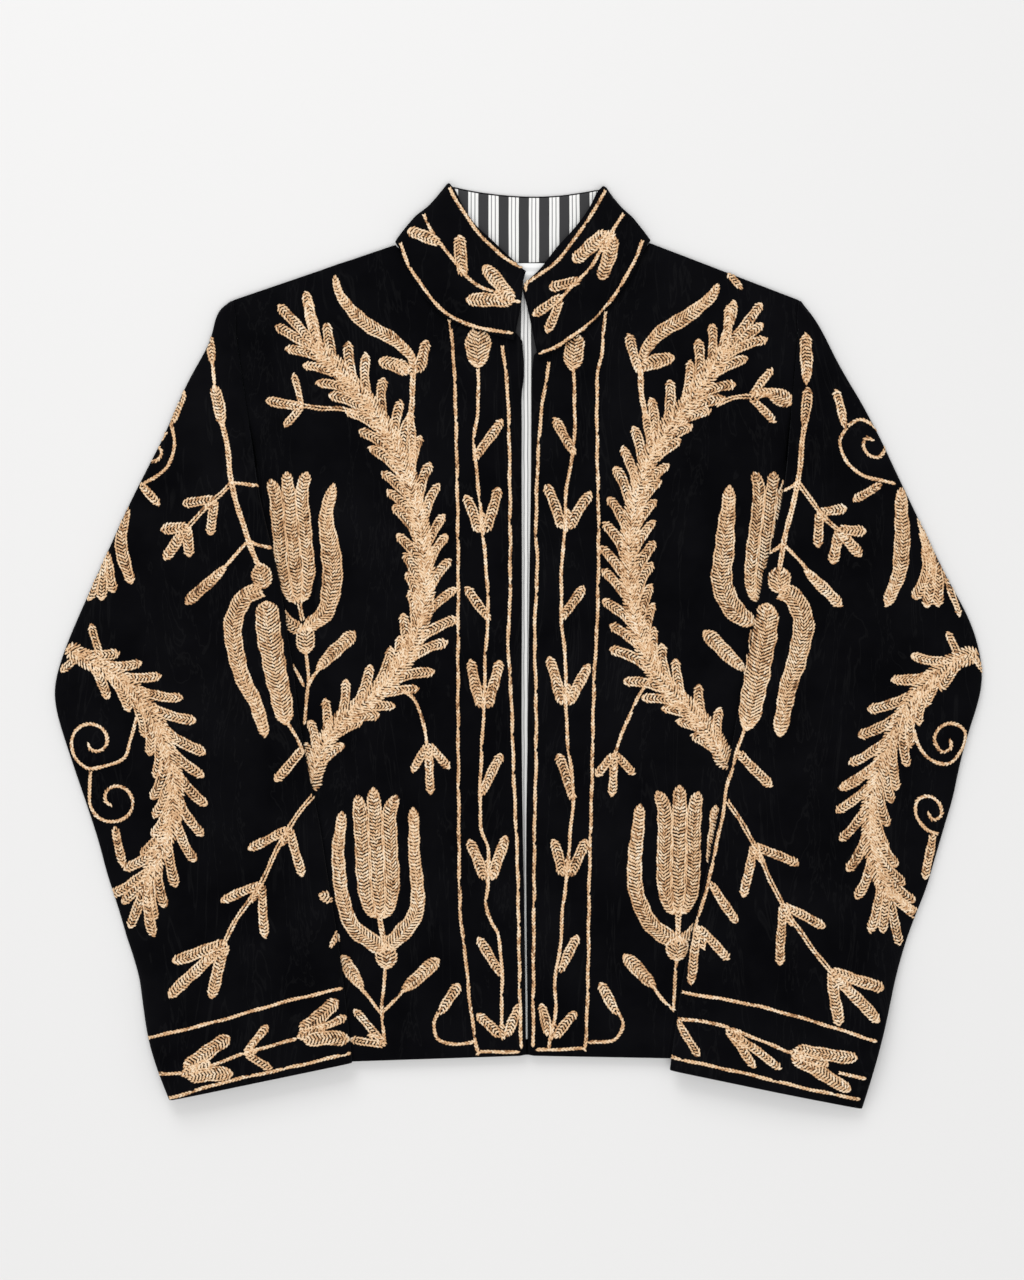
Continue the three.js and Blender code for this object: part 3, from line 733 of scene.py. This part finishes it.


# %% [markdown]
# ## The pattern of each panel
# Below, each panel's pattern is laid out from those motifs: borders and a vine up each front
# edge, a great saw-edged leaf with tulips beside it, sprigs between, and stems, scrolls and cuff bands on
# the sleeves. The two halves mirror each other roughly, as freehand sewing does. Right and left are
# the wearer's, so the right side lies at negative x.

# %% Right front: the border and its vine
RIGHT_FRONT = (
    stem((-53, 247.5), (-49, 199.5), (-46.5, 79.5), (-46.5, -40.5), (-46, -115.5), (-45, -195), (-41, -232),
        (-37.5, -268), (-32, -303), (-28, -304.5), (-1, -304.5))
    + stem((-13, 225), (-9, 184.5), (-7.5, 109.5), (-7.5, 34.5), (-9, 4), (-6.5, -40.5), (-4.5, -102), (-2, -160),
        (-1, -211.5), (0, -266), (1, -303))
    + ribbon(((-32, 239), (-31.5, 227), (-31.5, 217), (-31.5, 209)), [19, 20, 18, 14])
    + stem((-31.5, 213), (-31.5, 178), (-34.5, 154.5), (-31, 117), (-28.5, 90), (-25, 53), (-24, 23), (-26, -7),
        (-27, -44), (-28.5, -73.5), (-30, -109.5), (-29, -136.5), (-24, -153), (-24, -177), (-25.5, -193.5),
        (-21, -208), (-16, -219), (-13.5, -246), (-14, -283.5))
    + leaf((-34.5, 139.5), (-13.5, 169.5), 8.4)
    + cup((-28, 82.5), (-41, 113), (-16, 119), width=8.6)
    + leaf((-23, 19.5), (-40.5, 44), 8.4)
    + cup((-27, -49.5), (-37.5, -10.5), (-15, -11), width=8.8)
    + leaf((-30, -112.5), (-14, -81), 8.4)
    + cup((-24, -178.5), (-38, -145.5), (-10.5, -142.5), width=8.8)
    + leaf((-13, -248), (-31.5, -219), 8.4)
    + cup((-12, -296), (-32, -276), (0, -269), width=8.2)
    + leaf((-60, -276), (-46, -253.5), 9)
    + stem((-61.5, -274.5), (-64.5, -283.5), (-61, -295), (-49, -299), (-34.5, -297))
)
print("rows so far:", len(RIGHT_FRONT))

# %% Right front: the sprays at the shoulder
RIGHT_FRONT += (
    ribbon(((-139.5, 278), (-135, 264), (-124, 249), (-109.5, 238), (-94.5, 229.5), (-83, 219), (-80, 210)),
        [6, 7.5, 10.5, 11.5, 10, 8, 6], True, False)
    + cup((-81, 202), (-70, 229), (-94.5, 211.5), width=9.2)
    + ribbon(((-85, 204), (-94.5, 211), (-106, 214)), [8, 11.5, 9])
    + stem((-80, 205.5), (-81, 184.5), (-82.5, 169.5), width=5)
    + leaf((-80, 138), (-82.5, 175.5), 7.5, heel=0.9)
    + leaf((-163, 179), (-190.5, 184.5), 8.5)
    + leaf((-163, 178.5), (-170, 204), 6)
    + leaf((-163, 180), (-177, 165), 7)
    + stem((-162, 180), (-150, 178.5), (-135, 178), (-121.5, 174), width=4.5)
)
print("rows so far:", len(RIGHT_FRONT))

# %% Right front: the saw-edged leaf
RIGHT_FRONT += (
    feather(
        ((-159, -109.5), (-151.5, -85.5), (-144, -68), (-131, -53), (-112.5, -39), (-94, -21), (-82, -1.5),
            (-74, 19.5), (-71, 42), (-72, 64.5), (-75, 91), (-82, 119), (-93, 147), (-109, 175.5), (-129, 199.5),
            (-154.5, 226)),
        ((-161, 266), (-181, 256), (-183, 240)),
    )
    + stem((-88.5, -33), (-79.5, -40.5), (-73, -55.5), (-70, -74))
    + leaves((-69, -74), (-81, -94), (-53, -91.5), (-67, -111), width=7.5)
)
print("rows so far:", len(RIGHT_FRONT))

# %% Right front: the tulips
RIGHT_FRONT += (
    tulip(((-187, 124.5), (-175, 130), (-160, 130)), (-166.5, 33), 29.5)
    + ribbon(((-140, 121.5), (-145.5, 95), (-142, 72), (-141, 47), (-146, 26), (-157, 16), (-163, 13)),
        [8.5, 12, 16, 16.5, 14, 12, 9])
    + ribbon(((-183, 30), (-178, 22), (-172, 16), (-163.5, 12)), [9, 10, 11, 10])
    + stem((-166, 34.5), (-163, 19.5), width=4.5)
    + ribbon(((-162, 15), (-161, 4.5), (-160.5, -6)), [13, 16, 12])
    + stem((-160.5, -2), (-159, -27), (-162, -58.5))
    + stem((-172, -12), (-167, -21), (-162, -30))
    + stem((-159, -30), (-155, -23), (-148.5, -15))
    + pod((-153, -18), (-124, 10.5), 11.5)
    + tulip(((-122, -112.5), (-110, -107), (-93, -112.5)), (-105, -204), 32)
    + ribbon(((-133.5, -124.5), (-136.5, -160.5), (-131.5, -196.5), (-124, -212), (-112.5, -221), (-102, -229)),
        [8.5, 11, 12, 13, 14, 12])
    + ribbon(((-80, -121.5), (-79, -160.5), (-76.5, -187.5), (-80, -204), (-89, -216), (-102, -226.5)),
        [8.5, 10, 11.5, 13, 14, 12])
    + stem((-105, -204), (-102, -224), width=5)
    + ribbon(((-100.5, -224), (-100.5, -242)), [17, 17])
    + stem((-101, -241.5), (-103.5, -271.5), (-102, -297))
    + stem((-103, -274.5), (-94, -265.5), (-85, -256.5))
    + pod((-89, -259.5), (-61, -235), 11.5)
    + stem((-105, -274.5), (-112.5, -265), (-120, -256.5))
    + pod((-118, -258), (-134, -232.5), 11)
    + leaves((-101, -299), (-124.5, -273), (-127.5, -295.5), width=7)
    + leaf((-142.5, -229.5), (-136.5, -216), 6.5)
    + leaf((-148.5, -199.5), (-150, -185), 7)
)
print("right front, rows:", len(RIGHT_FRONT))

# %% Left front: the border and its vine
LEFT_FRONT = (
    stem((64, 251), (61.5, 221), (58, 199.5), (58, 145), (59, 87), (58, 20), (55.5, -28), (54, -100.5), (52, -175.5),
        (51, -250.5), (49, -298.5), (45, -302), (13, -303))
    + stem((22, 213), (16.5, 179), (13.5, 141), (12, 87), (13, 58.5), (11, 10.5), (12, -39), (12, -90), (11, -127.5),
        (10.5, -190), (10, -256), (10, -301.5))
    + ribbon(((42, 234), (40.5, 222), (40, 213), (39, 207)), [15, 16, 14.5, 12])
    + stem((40, 210), (41, 183), (40.5, 152), (36, 125), (34, 106.5), (34, 89), (31.5, 64.5), (31, 34), (31.5, 12),
        (34, -8), (34.5, -44), (36, -74), (40, -108), (38, -138), (35, -172.5), (32, -198), (30, -228), (26, -250.5),
        (27, -271.5), (23, -293), (22, -302))
    + leaf((41, 144), (25.5, 171), 8.4)
    + cup((34.5, 85), (20, 121.5), (53, 115.5), width=8.6)
    + leaf((31, 19.5), (48, 45), 8.4)
    + cup((34, -47), (22, -8), (52, -14), width=8.8)
    + leaf((40.5, -116), (29, -81), 8.4)
    + cup((35, -175.5), (25, -145.5), (49.5, -145), width=8.6)
    + leaf((30, -244.5), (43, -217.5), 8.4)
    + cup((23, -296), (16, -268.5), (42, -274.5), width=8.2)
    + leaf((73, -276), (60, -253), 9)
    + stem((74, -274.5), (77, -285), (70, -296), (52, -297))
)
print("rows so far:", len(LEFT_FRONT))

# %% Left front: the sprays at the shoulder
LEFT_FRONT += (
    ribbon(((148.5, 271.5), (142.5, 261), (130.5, 251), (118, 243), (104, 234), (95, 223.5), (91.5, 213)),
        [7, 9, 11, 12, 11, 9.5, 8], True, False)
    + leaf((90, 204), (81, 234), 8.5)
    + ribbon(((90, 208), (101, 213), (115.5, 217)), [9, 12, 10])
    + stem((90, 210), (91.5, 188), (94.5, 171), width=5)
    + leaf((99, 144), (94, 177), 7.5, heel=0.9)
    + leaf((166.5, 268.5), (156, 281), 6.5)
    + stem((147, 181), (160, 186), (175, 187.5), width=4.5)
    + ribbon(((174, 189), (186, 190), (193.5, 187.5), (204, 182)), [8.5, 8, 13, 14])
    + leaves((173, 187), (189, 208), (191, 168), width=7)
)
print("rows so far:", len(LEFT_FRONT))

# %% Left front: the saw-edged leaf
LEFT_FRONT += (
    feather(
        ((157, -91.5), (147, -72), (135, -55.5), (118.5, -39), (103.5, -22.5), (94, -3), (87, 18), (83, 42),
            (82, 67.5), (85, 100), (90, 121), (97.5, 142), (110, 163), (127.5, 184), (142, 205), (154.5, 223)),
        ((161, 259), (181.5, 257), (182, 242)),
    )
    + stem((99, -22.5), (88.5, -39), (79.5, -58.5), (71, -81))
    + leaves((71, -81), (57, -97.5), (85.5, -96), (69, -112.5), width=7.5)
)
print("rows so far:", len(LEFT_FRONT))

# %% Left front: the tulips
LEFT_FRONT += (
    tulip(((176, 130), (190.5, 130), (202.5, 126)), (179, 33), 27)
    + ribbon(((157.5, 120), (154, 79.5), (151.5, 49), (156, 34.5), (164, 24), (175.5, 16.5)),
        [9.5, 15.5, 17, 17, 16, 12])
    + ribbon(((178, 15), (178, -4.5)), [13, 15])
    + stem((178, -1.5), (177, -19.5), (177, -48))
    + stem((177, -31.5), (172, -23), (166, -16))
    + pod((169, -19), (138, 11), 12)
    + tulip(((103, -109.5), (120, -105), (134, -110)), (118.5, -201), 32.5)
    + ribbon(((90.5, -119), (88, -142), (86, -175.5), (94, -202.5), (107, -216), (118.5, -222)),
        [8.5, 11, 12.5, 13, 14, 12])
    + ribbon(((147, -120), (145, -153), (145, -183), (142, -202.5), (131, -216), (120, -222)),
        [8.5, 10.5, 11.5, 12.5, 13.5, 12])
    + stem((118.5, -201), (118.5, -220.5), width=5)
    + ribbon(((118, -218), (118, -236)), [18, 18])
    + stem((118, -234), (116, -254), (115.5, -273))
    + stem((116, -274), (107, -265), (98, -253.5))
    + pod((102, -256.5), (78, -232), 11.5)
)
print("left front, rows:", len(LEFT_FRONT))

# %% Right sleeve: the stem from the shoulder
SLEEVE_LEAF = {"barb": 43, "width": 8.7, "spacing": 17.5, "fill": 14}
RIGHT_SLEEVE = (
    leaf((-231, 212), (-233, 233), 7.5)
    + stem((-231, 214), (-228, 190))
    + ribbon(((-229, 195), (-226, 181), (-223, 166)), [8.5, 10.5, 8])
    + stem((-223, 166.5), (-218, 143), (-216, 123), (-210, 100.5), (-203, 79), (-196.5, 61.5), width=4.8)
    + stem((-216, 122), (-207, 121), (-196.5, 120))
    + stem((-216, 121), (-223.5, 114), (-231, 108), (-240, 98), (-249, 89), width=4.5)
    + leaves((-228, 109.5), (-253, 107), (-232, 83), width=8.4)
    + leaves((-249, 90), (-269, 87), (-266, 65), (-247.5, 67), width=9.4)
    + stem((-203, 79), (-196.5, 76), (-187, 73.5))
    + stem((-203, 79), (-213, 67.5), (-222, 58))
    + pod((-219, 60), (-250, 31.5), 9.5)
)
print("rows so far:", len(RIGHT_SLEEVE))

# %% Right sleeve: the flower that opens downwards
RIGHT_SLEEVE += (
    ribbon(((-195, 61.5), (-191, 43.5)), [15, 17])
    + ribbon(((-193, 42), (-206, 36), (-214, 19.5), (-213, -3), (-205.5, -28), (-197, -44), (-190.5, -67.5)),
        [12, 14, 15, 14, 12.5, 11, 9.5], False, True)
    + ribbon(((-190, 33), (-187, 4.5), (-181.5, -25.5), (-176, -52), (-175, -58.5)), [19, 19.5, 17.5, 15.5, 12])
    + stem((-174, -57), (-167, -69), (-162, -79.5))
    + leaf((-162, -77), (-183, -101), 8.4, heel=0.9)
    + ribbon(((-150, -186), (-139.5, -190)), [8, 10])
    + leaf((-142, -225), (-134, -212), 6)
)
print("rows so far:", len(RIGHT_SLEEVE))

# %% Right sleeve: the branch to the cuff
RIGHT_SLEEVE += (
    stem((-145, -103), (-155, -112), (-165, -124.5), (-175, -139.5), (-186, -161), (-195, -180), (-210, -201),
        (-222, -223), width=4.5)
    + leaves((-172.5, -136.5), (-203, -152), (-163, -172), width=8)
    + leaves((-193.5, -178), (-223.5, -190.5), (-191, -218), width=8)
    + leaves((-220.5, -222), (-259.5, -236), (-262.5, -262), (-231, -263), width=9.8)
)
print("rows so far:", len(RIGHT_SLEEVE))

# %% Right sleeve: scrolls and petals on its outer side
RIGHT_SLEEVE += (
    leaf((-262, 166.5), (-252, 191), 7.5)
    + stem((-262, 166.5), (-259, 151), (-264, 136), (-273, 127), (-283.5, 121.5))
    + leaf((-285, 122), (-271, 106), 7.5)
    + scroll((-265.5, 160.5), (-275, 145.5), 10, 3.5, 60, 1.3)
    + ribbon(((-295, 104), (-299, 86), (-298, 67), (-291, 47)), [8, 10, 11, 8])
    + ribbon(((-310, 70.5), (-308, 55), (-305, 40.5)), [6, 8.5, 9])
    + ribbon(((-312, 66), (-313, 49.5), (-314, 34.5)), [6, 8.5, 9])
    + ribbon(((-316, 60), (-320, 45), (-324, 34.5)), [6, 8, 8])
)
print("rows so far:", len(RIGHT_SLEEVE))

# %% Right sleeve: the saw-edged leaf and its scrolls
RIGHT_SLEEVE += (
    feather(((-340.5, -1.5), (-319.5, -13), (-294, -29), (-273, -55), (-262.5, -80), (-258, -108), (-261, -134),
        (-271, -157.5), (-280, -178.5)), ((-298.5, -193), (-293, -211.5), (-274, -205.5)), **SLEEVE_LEAF)
    + leaf((-325.5, -3), (-345, -19), 7)
    + leaf((-315, -7), (-322, 16.5), 7)
    + scroll([(-287, -51), (-292, -71), (-298.5, -85)], (-320, -72), 20, 4, 270, -1.2)
    + scroll((-322, -94), (-304, -115.5), 20, 5, 165, 1.2)
    + leaf((-304, -136), (-298, -165), 7.6, heel=0.9)
)
print("rows so far:", len(RIGHT_SLEEVE))

# %% Right sleeve: the cuff band
RIGHT_SLEEVE += (
    stem((-279, -293.5), (-228, -281), (-176, -266), (-133, -256))
    + stem((-262.5, -338.5), (-220.5, -326), (-176, -316), (-127, -304.5))
    + stem((-271, -320.5), (-252, -319))
    + cup((-254, -321), (-217.5, -292), (-215, -320), width=11.5, depth=0.6)
    + stem((-231.5, -314), (-206, -304.5), (-166.5, -293.5))
    + leaves((-205.5, -305), (-189, -283.5), (-186, -316), width=7)
    + cup((-167, -293), (-136.5, -265), (-128, -294), width=11.5, depth=0.6)
    + leaf((-150, -286), (-130, -277.5), 7)
)
print("right sleeve, rows:", len(RIGHT_SLEEVE))

# %% Left sleeve: the stem from the shoulder
LEFT_SLEEVE = (
    pod((215, 196), (214.5, 234), 10.5)
    + pod((213, 164), (216, 193.5), 9)
    + stem((213, 166.5), (211, 151.5), (208, 124), (204, 106), (200, 89), (197, 77), (194, 56), width=4.8)
    + stem((208, 123), (202, 118.5), (194, 114))
    + stem((208, 123), (216, 111), (225, 99), (232.5, 91.5), (240, 85), width=4.5)
    + leaves((223.5, 100), (244.5, 103), (223, 74), width=8.4)
    + leaves((238.5, 87), (259, 86), (255, 67), (234, 61.5), width=9.2)
    + stem((197, 77), (192, 73), (185, 69))
    + stem((197, 76.5), (208, 64.5), (216, 55.5))
    + pod((212, 58.5), (240, 30), 9.5)
)
print("rows so far:", len(LEFT_SLEEVE))

# %% Left sleeve: the flower that opens downwards
LEFT_SLEEVE += (
    ribbon(((194, 58.5), (193.5, 40)), [18.5, 18.5])
    + ribbon(((194, 40.5), (205, 36), (212, 16), (207, -10), (199.5, -35), (194, -67.5)),
        [13, 15.5, 17, 15.5, 14, 11.5], False, True)
    + ribbon(((185, 31.5), (181.5, 4.5), (177, -22.5), (172, -49.5), (169, -63)), [20, 21, 20, 18, 13])
)
print("rows so far:", len(LEFT_SLEEVE))

# %% Left sleeve: the branch to the cuff
LEFT_SLEEVE += (
    stem((168, -61.5), (163, -76.5), (159, -91.5), (155, -104), (151.5, -127), (146, -153), (141, -177), (136, -194),
        (131, -211.5))
    + leaf((163, -79.5), (187.5, -105), 8.4, heel=0.9)
    + leaf((142.5, -177), (162, -207), 8)
    + leaves((133, -210), (156, -234), (127.5, -253), width=8)
    + stem((155, -115.5), (166.5, -133.5), (177, -152), (187.5, -175.5), (198, -196), (214.5, -220.5), (233, -244.5),
        width=4.5)
    + leaves((175, -149), (208, -163), (167, -187.5), width=8)
    + leaves((196.5, -193.5), (228, -210), (194, -238.5), width=8)
    + leaves((232.5, -243), (272, -256.5), (268.5, -281), (238.5, -283.5), width=9.8)
)
print("rows so far:", len(LEFT_SLEEVE))

# %% Left sleeve: scrolls and petals on its outer side
LEFT_SLEEVE += (
    leaf((244, 164), (237, 192), 7.5)
    + ribbon(((246, 165), (255, 170), (264, 166.5), (270, 159), (274.5, 150), (270, 142), (262.5, 143), (258, 150),
        (260, 156), (265, 154.5)), STEM, False, True)
    + stem((245, 163.5), (240, 153), (244, 139.5), (253.5, 130.5), (262.5, 126), (271.5, 124), (282, 122))
    + leaf((271, 121.5), (250, 109), 7.5)
    + ribbon(((286, 118.5), (286.5, 94.5), (286.5, 72), (283.5, 52.5), (274.5, 30)), [9, 12, 13.5, 12, 9])
    + ribbon(((303, 75), (306, 59), (301.5, 46), (295.5, 35)), [7, 9.5, 9.5, 9])
    + ribbon(((301, 87), (308, 63), (308, 46), (304.5, 29)), [5, 9.5, 9.5, 9])
    + ribbon(((298.5, 96), (309, 70.5), (314, 49.5), (313, 30)), [4, 9, 9.5, 9])
    + ribbon(((319, 58.5), (324, 40.5), (330, 22.5)), [5.5, 6.5, 5])
)
print("rows so far:", len(LEFT_SLEEVE))

# %% Left sleeve: the saw-edged leaf and its scrolls
LEFT_SLEEVE += (
    feather(((343.5, -4), (317, -17), (294, -40.5), (280.5, -64.5), (270, -90), (262.5, -116), (262.5, -142.5),
        (268, -168), (277, -187.5)), ((271.5, -214.5), (285, -224), (295.5, -199.5)), **SLEEVE_LEAF)
    + leaf((331.5, -13.5), (321, 10.5), 7)
    + leaf((339, -7.5), (358, -27), 7)
    + ribbon(((294, -53), (298.5, -74), (309, -85.5), (322.5, -88), (332, -77), (334, -64.5), (325, -58),
        (315, -61.5), (311, -71), (316.5, -79.5), (323, -76.5), (322.5, -70)), STEM, False, True)
    + ribbon(((314, -141), (304.5, -137), (297, -127), (298.5, -116), (307.5, -113), (315, -118.5), (316, -127),
        (310, -130), (306, -124.5)), STEM, False, True)
    + leaf((310, -141), (304, -175), 7.8, heel=0.9)
)
print("rows so far:", len(LEFT_SLEEVE))

# %% Left sleeve: the cuff band
LEFT_SLEEVE += (
    stem((121, -259), (172.5, -268), (220.5, -281), (267, -296))
    + stem((113, -307.5), (170, -320), (214, -331), (256, -340))
    + stem((118, -279), (150, -283.5), (202, -304))
    + leaf((118, -280.5), (133.5, -307), 7)
    + leaves((155, -286.5), (175.5, -315), (195, -316), width=7.4)
    + cup((201, -303), (252, -308), (247, -333), width=10.4, depth=0.6)
    + stem((238.5, -319.5), (260, -324))
)
print("left sleeve, rows:", len(LEFT_SLEEVE))

# %% Collar
COLLAR = (
    stem((-53, 344), (-46.5, 331.5), (-38, 319), (-28, 306), (-16.5, 295), (-5, 287), (7.5, 281))
    + stem((-90, 302), (-82, 283), (-69, 264), (-55, 249), (-39, 241.5), (-24, 237), (-6, 235))
    + stem((64, 342), (55.5, 326), (45, 311), (34, 295.5), (22, 283.5), (9, 274.5), (4.5, 271), (4, 265.5))
    + stem((92, 304), (84, 285), (73.5, 267), (61, 250), (46, 237), (29, 225.5), (15, 219.5))
    + leaf((-60, 302), (-84, 312), 10, heel=0.9)
    + stem((-72, 324), (-66.5, 311), (-59, 301), (-50, 289.5), (-40, 277), (-29, 269), (-19.5, 265.5))
    + leaf((-43, 277.5), (-45.5, 307.5), 10.5, heel=0.9)
    + leaves((-5, 259), (-27, 285), (-40, 259.5), width=11.5)
    + stem((-7.5, 259.5), (0, 258))
    + stem((78, 324), (69, 311), (55, 287), (46.5, 277), (38, 268.5), (30, 260))
    + cup((70.5, 312), (40, 288), (61, 274.5), width=11)
    + leaf((45, 274.5), (22, 268), 9, heel=0.9)
    + leaf((32, 262.5), (10, 248), 8)
    + leaf((31, 260), (20, 235), 8)
)
print("collar, rows:", len(COLLAR))

# %% [markdown]
# ## Sewing the rows onto the cloth
# Each row is walked in steps of one stitch. A ray from above finds the cloth there, its height and its
# slope. A stitch is kept only where its own panel is the uppermost cloth, and where no earlier row has
# sewn already. Spun silk is smooth, with a soft shine along its length and a little fuzz, so it gets a
# middling roughness and a trace of sheen. It takes dye unevenly: each stitch has a tone of its own, and
# wide patches of about 26 mm are paler or browner.

# %% Silk thread material
silk, tree, shader = new_material("spun_silk_thread")
place = add_node(tree, "ShaderNodeTexCoord").outputs["Object"]
# The tone attribute is each stitch's own dye tone plus the painted highlight and painted shade of each strand.
tone = add_node(tree, "ShaderNodeAttribute", {"attribute_name": "tone"}).outputs["Fac"]
fading = {"Scale": 1 / 0.026, "Detail": 2.0, "Roughness": 0.55}
faded = add_node(tree, "ShaderNodeTexNoise", fading, {"Vector": place})
centred = {"operation": "MULTIPLY_ADD", 1: 0.5, 2: -0.23}
mixed = add_node(tree, "ShaderNodeMath", centred, {0: faded.outputs["Fac"]})
both = add_node(tree, "ShaderNodeMath", {"operation": "ADD"}, {0: mixed.outputs[0], 1: tone})
thread_colour = add_node(tree, "ShaderNodeValToRGB", links={"Fac": both.outputs[0]})
THREAD_TONES = [(0.0, "#4f3320"), (0.3, "#a67a52"), (0.5, "#d4ab80"), (0.74, "#e7c9a5"), (1.0, "#f4e5ce")]
colour_stops(thread_colour, THREAD_TONES)
tree.links.new(thread_colour.outputs["Color"], shader.inputs["Base Color"])
set_look(shader, {"Roughness": 0.5, "Specular IOR Level": 0.2})
set_look(shader, {"Sheen Weight": 0.1, "Sheen Tint": linear("#ffe9c4")})
print("material:", silk.name, "tones:", len(THREAD_TONES))

# %% The uppermost cloth
cloths = list(panels.values()) + [lining_collar, lining_back]
all_points, all_faces, owner = [], [], []
for piece in cloths:
    first = len(all_points)
    all_points += [v.co.copy() for v in piece.data.vertices]
    all_faces += [[first + i for i in p.vertices] for p in piece.data.polygons]
    owner += [piece.name] * len(piece.data.polygons)
uppermost = BVHTree.FromPolygons(all_points, all_faces)
print("faces to sew on:", len(all_faces))

# %% Joining strands in one mesh
def joined_strands(name, places, ways, normals, swell, tones):
    """Copies of the strand, each with its place, its way along, its normal, its size and its tone, plus the strand's
    painted highlight and shade at each point.
    """
    places, ways, normals = np.array(places), np.array(ways), np.array(normals)
    across = np.cross(normals, ways)
    local = strand_points[None] * np.array(swell)[:, None, None] * MM
    points = places[:, None] + local[..., :1] * ways[:, None] + local[..., 1:2] * across[:, None]
    points = points + local[..., 2:] * normals[:, None]
    first_points = np.arange(len(places)) * len(strand_points)
    faces = (strand_faces[None] + first_points[:, None, None]).reshape(-1, 3)
    # Each point's tone is the stitch's own tone plus the strand's painted highlight or painted shade.
    tones_and_painted_light = np.array(tones)[:, None] + strand_painted_light[None]
    mesh = bpy.data.meshes.new(name)
    mesh.vertices.add(tones_and_painted_light.size)
    mesh.vertices.foreach_set("co", points.ravel())
    mesh.loops.add(faces.size)
    mesh.loops.foreach_set("vertex_index", faces.ravel())
    mesh.polygons.add(len(faces))
    mesh.polygons.foreach_set("loop_start", np.arange(0, faces.size, 3))
    mesh.update(calc_edges=True)
    mesh.shade_smooth()
    mesh.attributes.new("tone", "FLOAT", "POINT").data.foreach_set("value", tones_and_painted_light.ravel())
    mesh.materials.append(silk)
    return mesh


print("each strand adds", len(strand_faces), "faces to its panel's mesh")


# %% Sewing
SINK = 0.05  # mm that the middle of a strand stands over the pile
STEEPEST = 0.25  # upward share of a normal below which the cloth turns away
LEAN_SPREAD = 20  # degrees by which a strand's lean varies
PAINTED_SHADE_SHARE = 0.08  # share of strands given a darker tone: painted shade, as if sunk between their neighbours


def sew(panel, rows, name):
    """Lays a strand at each step of each row, and joins them in one piece."""
    dice = random.Random(len(rows))
    taken, places, ways, normals, tones = {}, [], [], [], []
    for number, (row, lean) in enumerate(rows):
        steps = lengths_along(row)
        if steps[-1] < STITCH:
            continue
        marks = np.arange(dice.uniform(0.4, 0.6) * STITCH, steps[-1], STITCH)
        xs, ys = np.interp(marks, steps, row[:, 0]), np.interp(marks, steps, row[:, 1])
        row_tone = dice.uniform(-0.06, 0.06)
        for k, (x, y) in enumerate(zip(xs, ys)):
            cell = (math.floor(x / CLOSEST), math.floor(y / CLOSEST))
            near = (taken.get((cell[0] + i, cell[1] + j)) for i in (-1, 0, 1) for j in (-1, 0, 1))
            if any(t and t[2] != number and math.hypot(t[0] - x, t[1] - y) < CLOSEST for t in near):
                continue
            hit, normal, face, _ = uppermost.ray_cast(Vector((x * MM, y * MM, ABOVE)), Vector((0, 0, -1)))
            if hit is None or owner[face] != panel.name or normal.z < STEEPEST:
                continue
            j = min(k + 1, len(xs) - 1)
            i = max(j - 1, 0)
            way = Vector((xs[j] - xs[i], ys[j] - ys[i], 0))
            if way.length < 1e-6:
                continue
            taken[cell] = (x, y, number)
            way = (way - normal * way.dot(normal)).normalized()
            angle = lean * math.radians(LEAN + dice.uniform(-LEAN_SPREAD, LEAN_SPREAD))
            way = way * math.cos(angle) + normal.cross(way) * math.sin(angle)
            places.append(hit + normal * SINK * MM)
            ways.append(way)
            normals.append(normal)
            # A strand in painted shade gets a darker tone; the others get a random tone of their own.
            in_painted_shade = dice.random() < PAINTED_SHADE_SHARE
            tones.append(row_tone + (dice.uniform(0.22, 0.4) if in_painted_shade else dice.uniform(0.45, 0.86)))
    swell = [dice.uniform(0.9, 1.1) for _ in places]
    mesh = joined_strands(name, [v[:] for v in places], [v[:] for v in ways], [v[:] for v in normals], swell, tones)
    piece = bpy.data.objects.new(name, mesh)
    scene.collection.objects.link(piece)
    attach(piece, "root")
    print(name, "stitches:", len(places), "triangles:", len(mesh.polygons))
    return piece


# %% The five embroidered panels
PATTERNS = {
    "front_right": RIGHT_FRONT,
    "front_left": LEFT_FRONT,
    "sleeve_right": RIGHT_SLEEVE,
    "sleeve_left": LEFT_SLEEVE,
    "collar": COLLAR,
}
stitching = {node: sew(panels[node], rows, "stitches_" + node) for node, rows in PATTERNS.items()}
